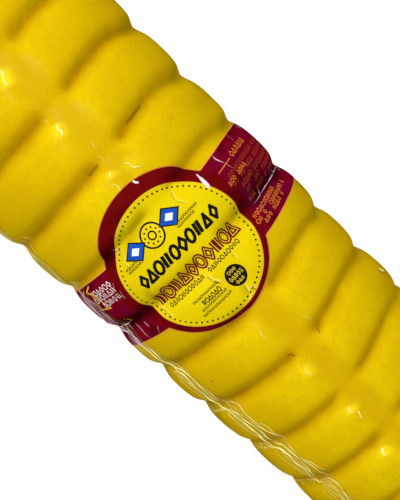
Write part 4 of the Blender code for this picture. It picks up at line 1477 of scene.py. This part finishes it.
class CHEESE_OT_sealed_ends(bpy.types.Operator):
    """Builds the bag's flat sealed end beyond each tip of the bar"""

    bl_idname = "cheese.sealed_ends"
    bl_label = "Sealed ends"

    def execute(self, context):
        settings = context.scene.film_settings
        material = film_material(settings, "sealed_film", 0.90, settings.gloss_roughness, 0.20,
                                 milky=settings.seal_colour)
        for name, side in (("film_seal_left", -1.0), ("film_seal_right", 1.0)):
            end = side * BAR_HALF_LENGTH
            angle = float(pleat_angle(end))
            across = np.array((0.0, math.sin(angle), math.cos(angle)))
            normal = np.array((0.0, math.cos(angle), -math.sin(angle)))
            centre = np.array((0.0, 0.0, float(centre_height(end))))
            radius = float(base_radius(end))
            u, v = np.meshgrid(np.linspace(-1.0, 1.0, 121), np.linspace(0.0, 1.0, 41), indexing="ij")
            root = u * SEAL_HALF_WIDTH
            dome = CAP_LENGTH * (1.0 - (np.abs(root) / radius) ** CAP_POWER) ** (1.0 / CAP_POWER)
            start = BAR_HALF_LENGTH - CAP_LENGTH + dome - SEAL_OVERLAP
            reach = start + v * (BAR_HALF_LENGTH + settings.fin_reach - start)
            wide = u * (SEAL_HALF_WIDTH - SEAL_TAPER * v)
            wave = 0.0022 * v * np.sin(7.0 * u + 1.3 * side) * np.cos(3.0 * u)
            seal = smoothstep(0.50, 0.56, v) * (1.0 - smoothstep(0.86, 0.92, v))
            wave = wave + 0.00018 * seal * np.sin(v * 90.0)
            wave = wave + 0.0004 * (1.0 - v) * v * waves(u * 0.04, v * 0.01, 0.004, 31)
            points = centre + wide[..., None] * across + wave[..., None] * normal
            points[..., 0] = side * reach
            lines = np.clip(waves(root, v * 0.002, 0.0022, 33), 0.0, 1.0) * (1.0 - 0.6 * seal)
            folded = 0.24 + 0.16 * v + 0.32 * seal + 0.30 * lines
            add_piece(name, points, grid_faces(*u.shape), material, BAR_NODE, folded=folded)
        return {"FINISHED"}


class CHEESE_OT_stage(bpy.types.Operator):
    """Sets up the floor, the lights and the camera"""

    bl_idname = "cheese.stage"
    bl_label = "Stage"

    def execute(self, context):
        settings = context.scene.stage_settings
        scene = context.scene
        mesh = bpy.data.meshes.new("floor")
        corners = [(x * FLOOR_HALF_SIZE, y * FLOOR_HALF_SIZE, -FLOOR_DROP)
                   for x, y in ((-1.0, -1.0), (1.0, -1.0), (1.0, 1.0), (-1.0, 1.0))]
        mesh.from_pydata(corners, [], [(0, 1, 2, 3)])
        floor = bpy.data.objects.new("floor", mesh)
        floor.visible_glossy = False
        scene.collection.objects.link(floor)
        material, b, out = new_material("floor")
        tone = b.noise(b.add("ShaderNodeTexCoord").outputs["Object"], 3.0)
        colour = b.blend(b.math("MULTIPLY", tone, 0.1), tuple(settings.floor_colour), (0.86, 0.86, 0.86, 1.0))
        b.matt(out, colour, 1.0, {"Emission Color": WHITE, "Emission Strength": settings.floor_glow})
        mesh.materials.append(material)

        tilt = settings.camera_tilt
        spot = camera_spot(settings.camera_aim, settings.camera_height, settings.camera_side, tilt)
        axes = Matrix([Vector(axis) for axis in camera_axes(tilt, settings.camera_turn)])
        data = bpy.data.cameras.new("camera")
        data.lens = settings.lens
        data.clip_start = 0.01
        camera = bpy.data.objects.new("camera", data)
        camera.matrix_world = Matrix.Translation(Vector(spot)) @ axes.transposed().to_4x4()
        scene.collection.objects.link(camera)
        scene.camera = camera

        self.softbox(scene, "key_light", *KEY_LIGHT, settings.key_power, True)
        self.softbox(scene, "side_light", *SIDE_LIGHT, settings.side_power, False)
        self.softbox(scene, "fill_light", *FILL_LIGHT, settings.fill_power, False)
        world = bpy.data.worlds.new("studio")
        world.use_nodes = True
        background = world.node_tree.nodes["Background"]
        background.inputs["Color"].default_value = WHITE
        background.inputs["Strength"].default_value = settings.sky
        world.cycles_visibility.glossy = False
        scene.world = world
        scene.view_settings.view_transform = "Standard"
        return {"FINISHED"}

    def softbox(self, scene, name, stand, size, power, reflected):
        """A square soft light aimed at the bar."""
        spot = Vector(stand)
        data = bpy.data.lights.new(name, "AREA")
        data.size = size
        data.energy = power
        light = bpy.data.objects.new(name, data)
        light.location = spot
        light.rotation_mode = "QUATERNION"
        light.rotation_quaternion = (spot - Vector(LIGHT_AIM)).to_track_quat("Z", "Y")
        light.visible_glossy = reflected
        scene.collection.objects.link(light)


class CHEESE_PT_panel(bpy.types.Panel):
    """Lists the pieces and their settings"""

    bl_label = "Roped provolone bar"
    bl_idname = "CHEESE_PT_panel"
    bl_space_type = "VIEW_3D"
    bl_region_type = "UI"
    bl_category = "Cheese"

    def draw(self, context):
        scene = context.scene
        for group, operators in PANEL_ROWS:
            box = self.layout.box()
            for operator in operators:
                box.operator(operator.bl_idname)
            settings = getattr(scene, group)
            for name in settings.bl_rna.properties.keys():
                if name not in ("name", "rna_type"):
                    box.prop(settings, name)


PANEL_ROWS = (
    ("cheese_settings", (CHEESE_OT_bar,)),
    ("label_settings", (CHEESE_OT_label,)),
    ("film_settings", (CHEESE_OT_film, CHEESE_OT_pleats, CHEESE_OT_creases, CHEESE_OT_sealed_ends)),
    ("stage_settings", (CHEESE_OT_stage,)),
)

SETTINGS = {
    "cheese_settings": CheeseSettings,
    "film_settings": FilmSettings,
    "label_settings": LabelSettings,
    "stage_settings": StageSettings,
}

CLASSES = (
    *SETTINGS.values(),
    CHEESE_OT_bar,
    CHEESE_OT_label,
    CHEESE_OT_film,
    CHEESE_OT_pleats,
    CHEESE_OT_creases,
    CHEESE_OT_sealed_ends,
    CHEESE_OT_stage,
    CHEESE_PT_panel,
)


def register():
    for made in CLASSES:
        bpy.utils.register_class(made)
    for name, made in SETTINGS.items():
        setattr(bpy.types.Scene, name, bpy.props.PointerProperty(type=made))


def unregister():
    for name in SETTINGS:
        delattr(bpy.types.Scene, name)
    for made in reversed(CLASSES):
        bpy.utils.unregister_class(made)


def main():
    register()
    bpy.ops.cheese.bar()
    bpy.ops.cheese.label()
    bpy.ops.cheese.film()
    bpy.ops.cheese.pleats()
    bpy.ops.cheese.creases()
    bpy.ops.cheese.sealed_ends()
    bpy.ops.cheese.stage()


if __name__ == "__main__":
    main()
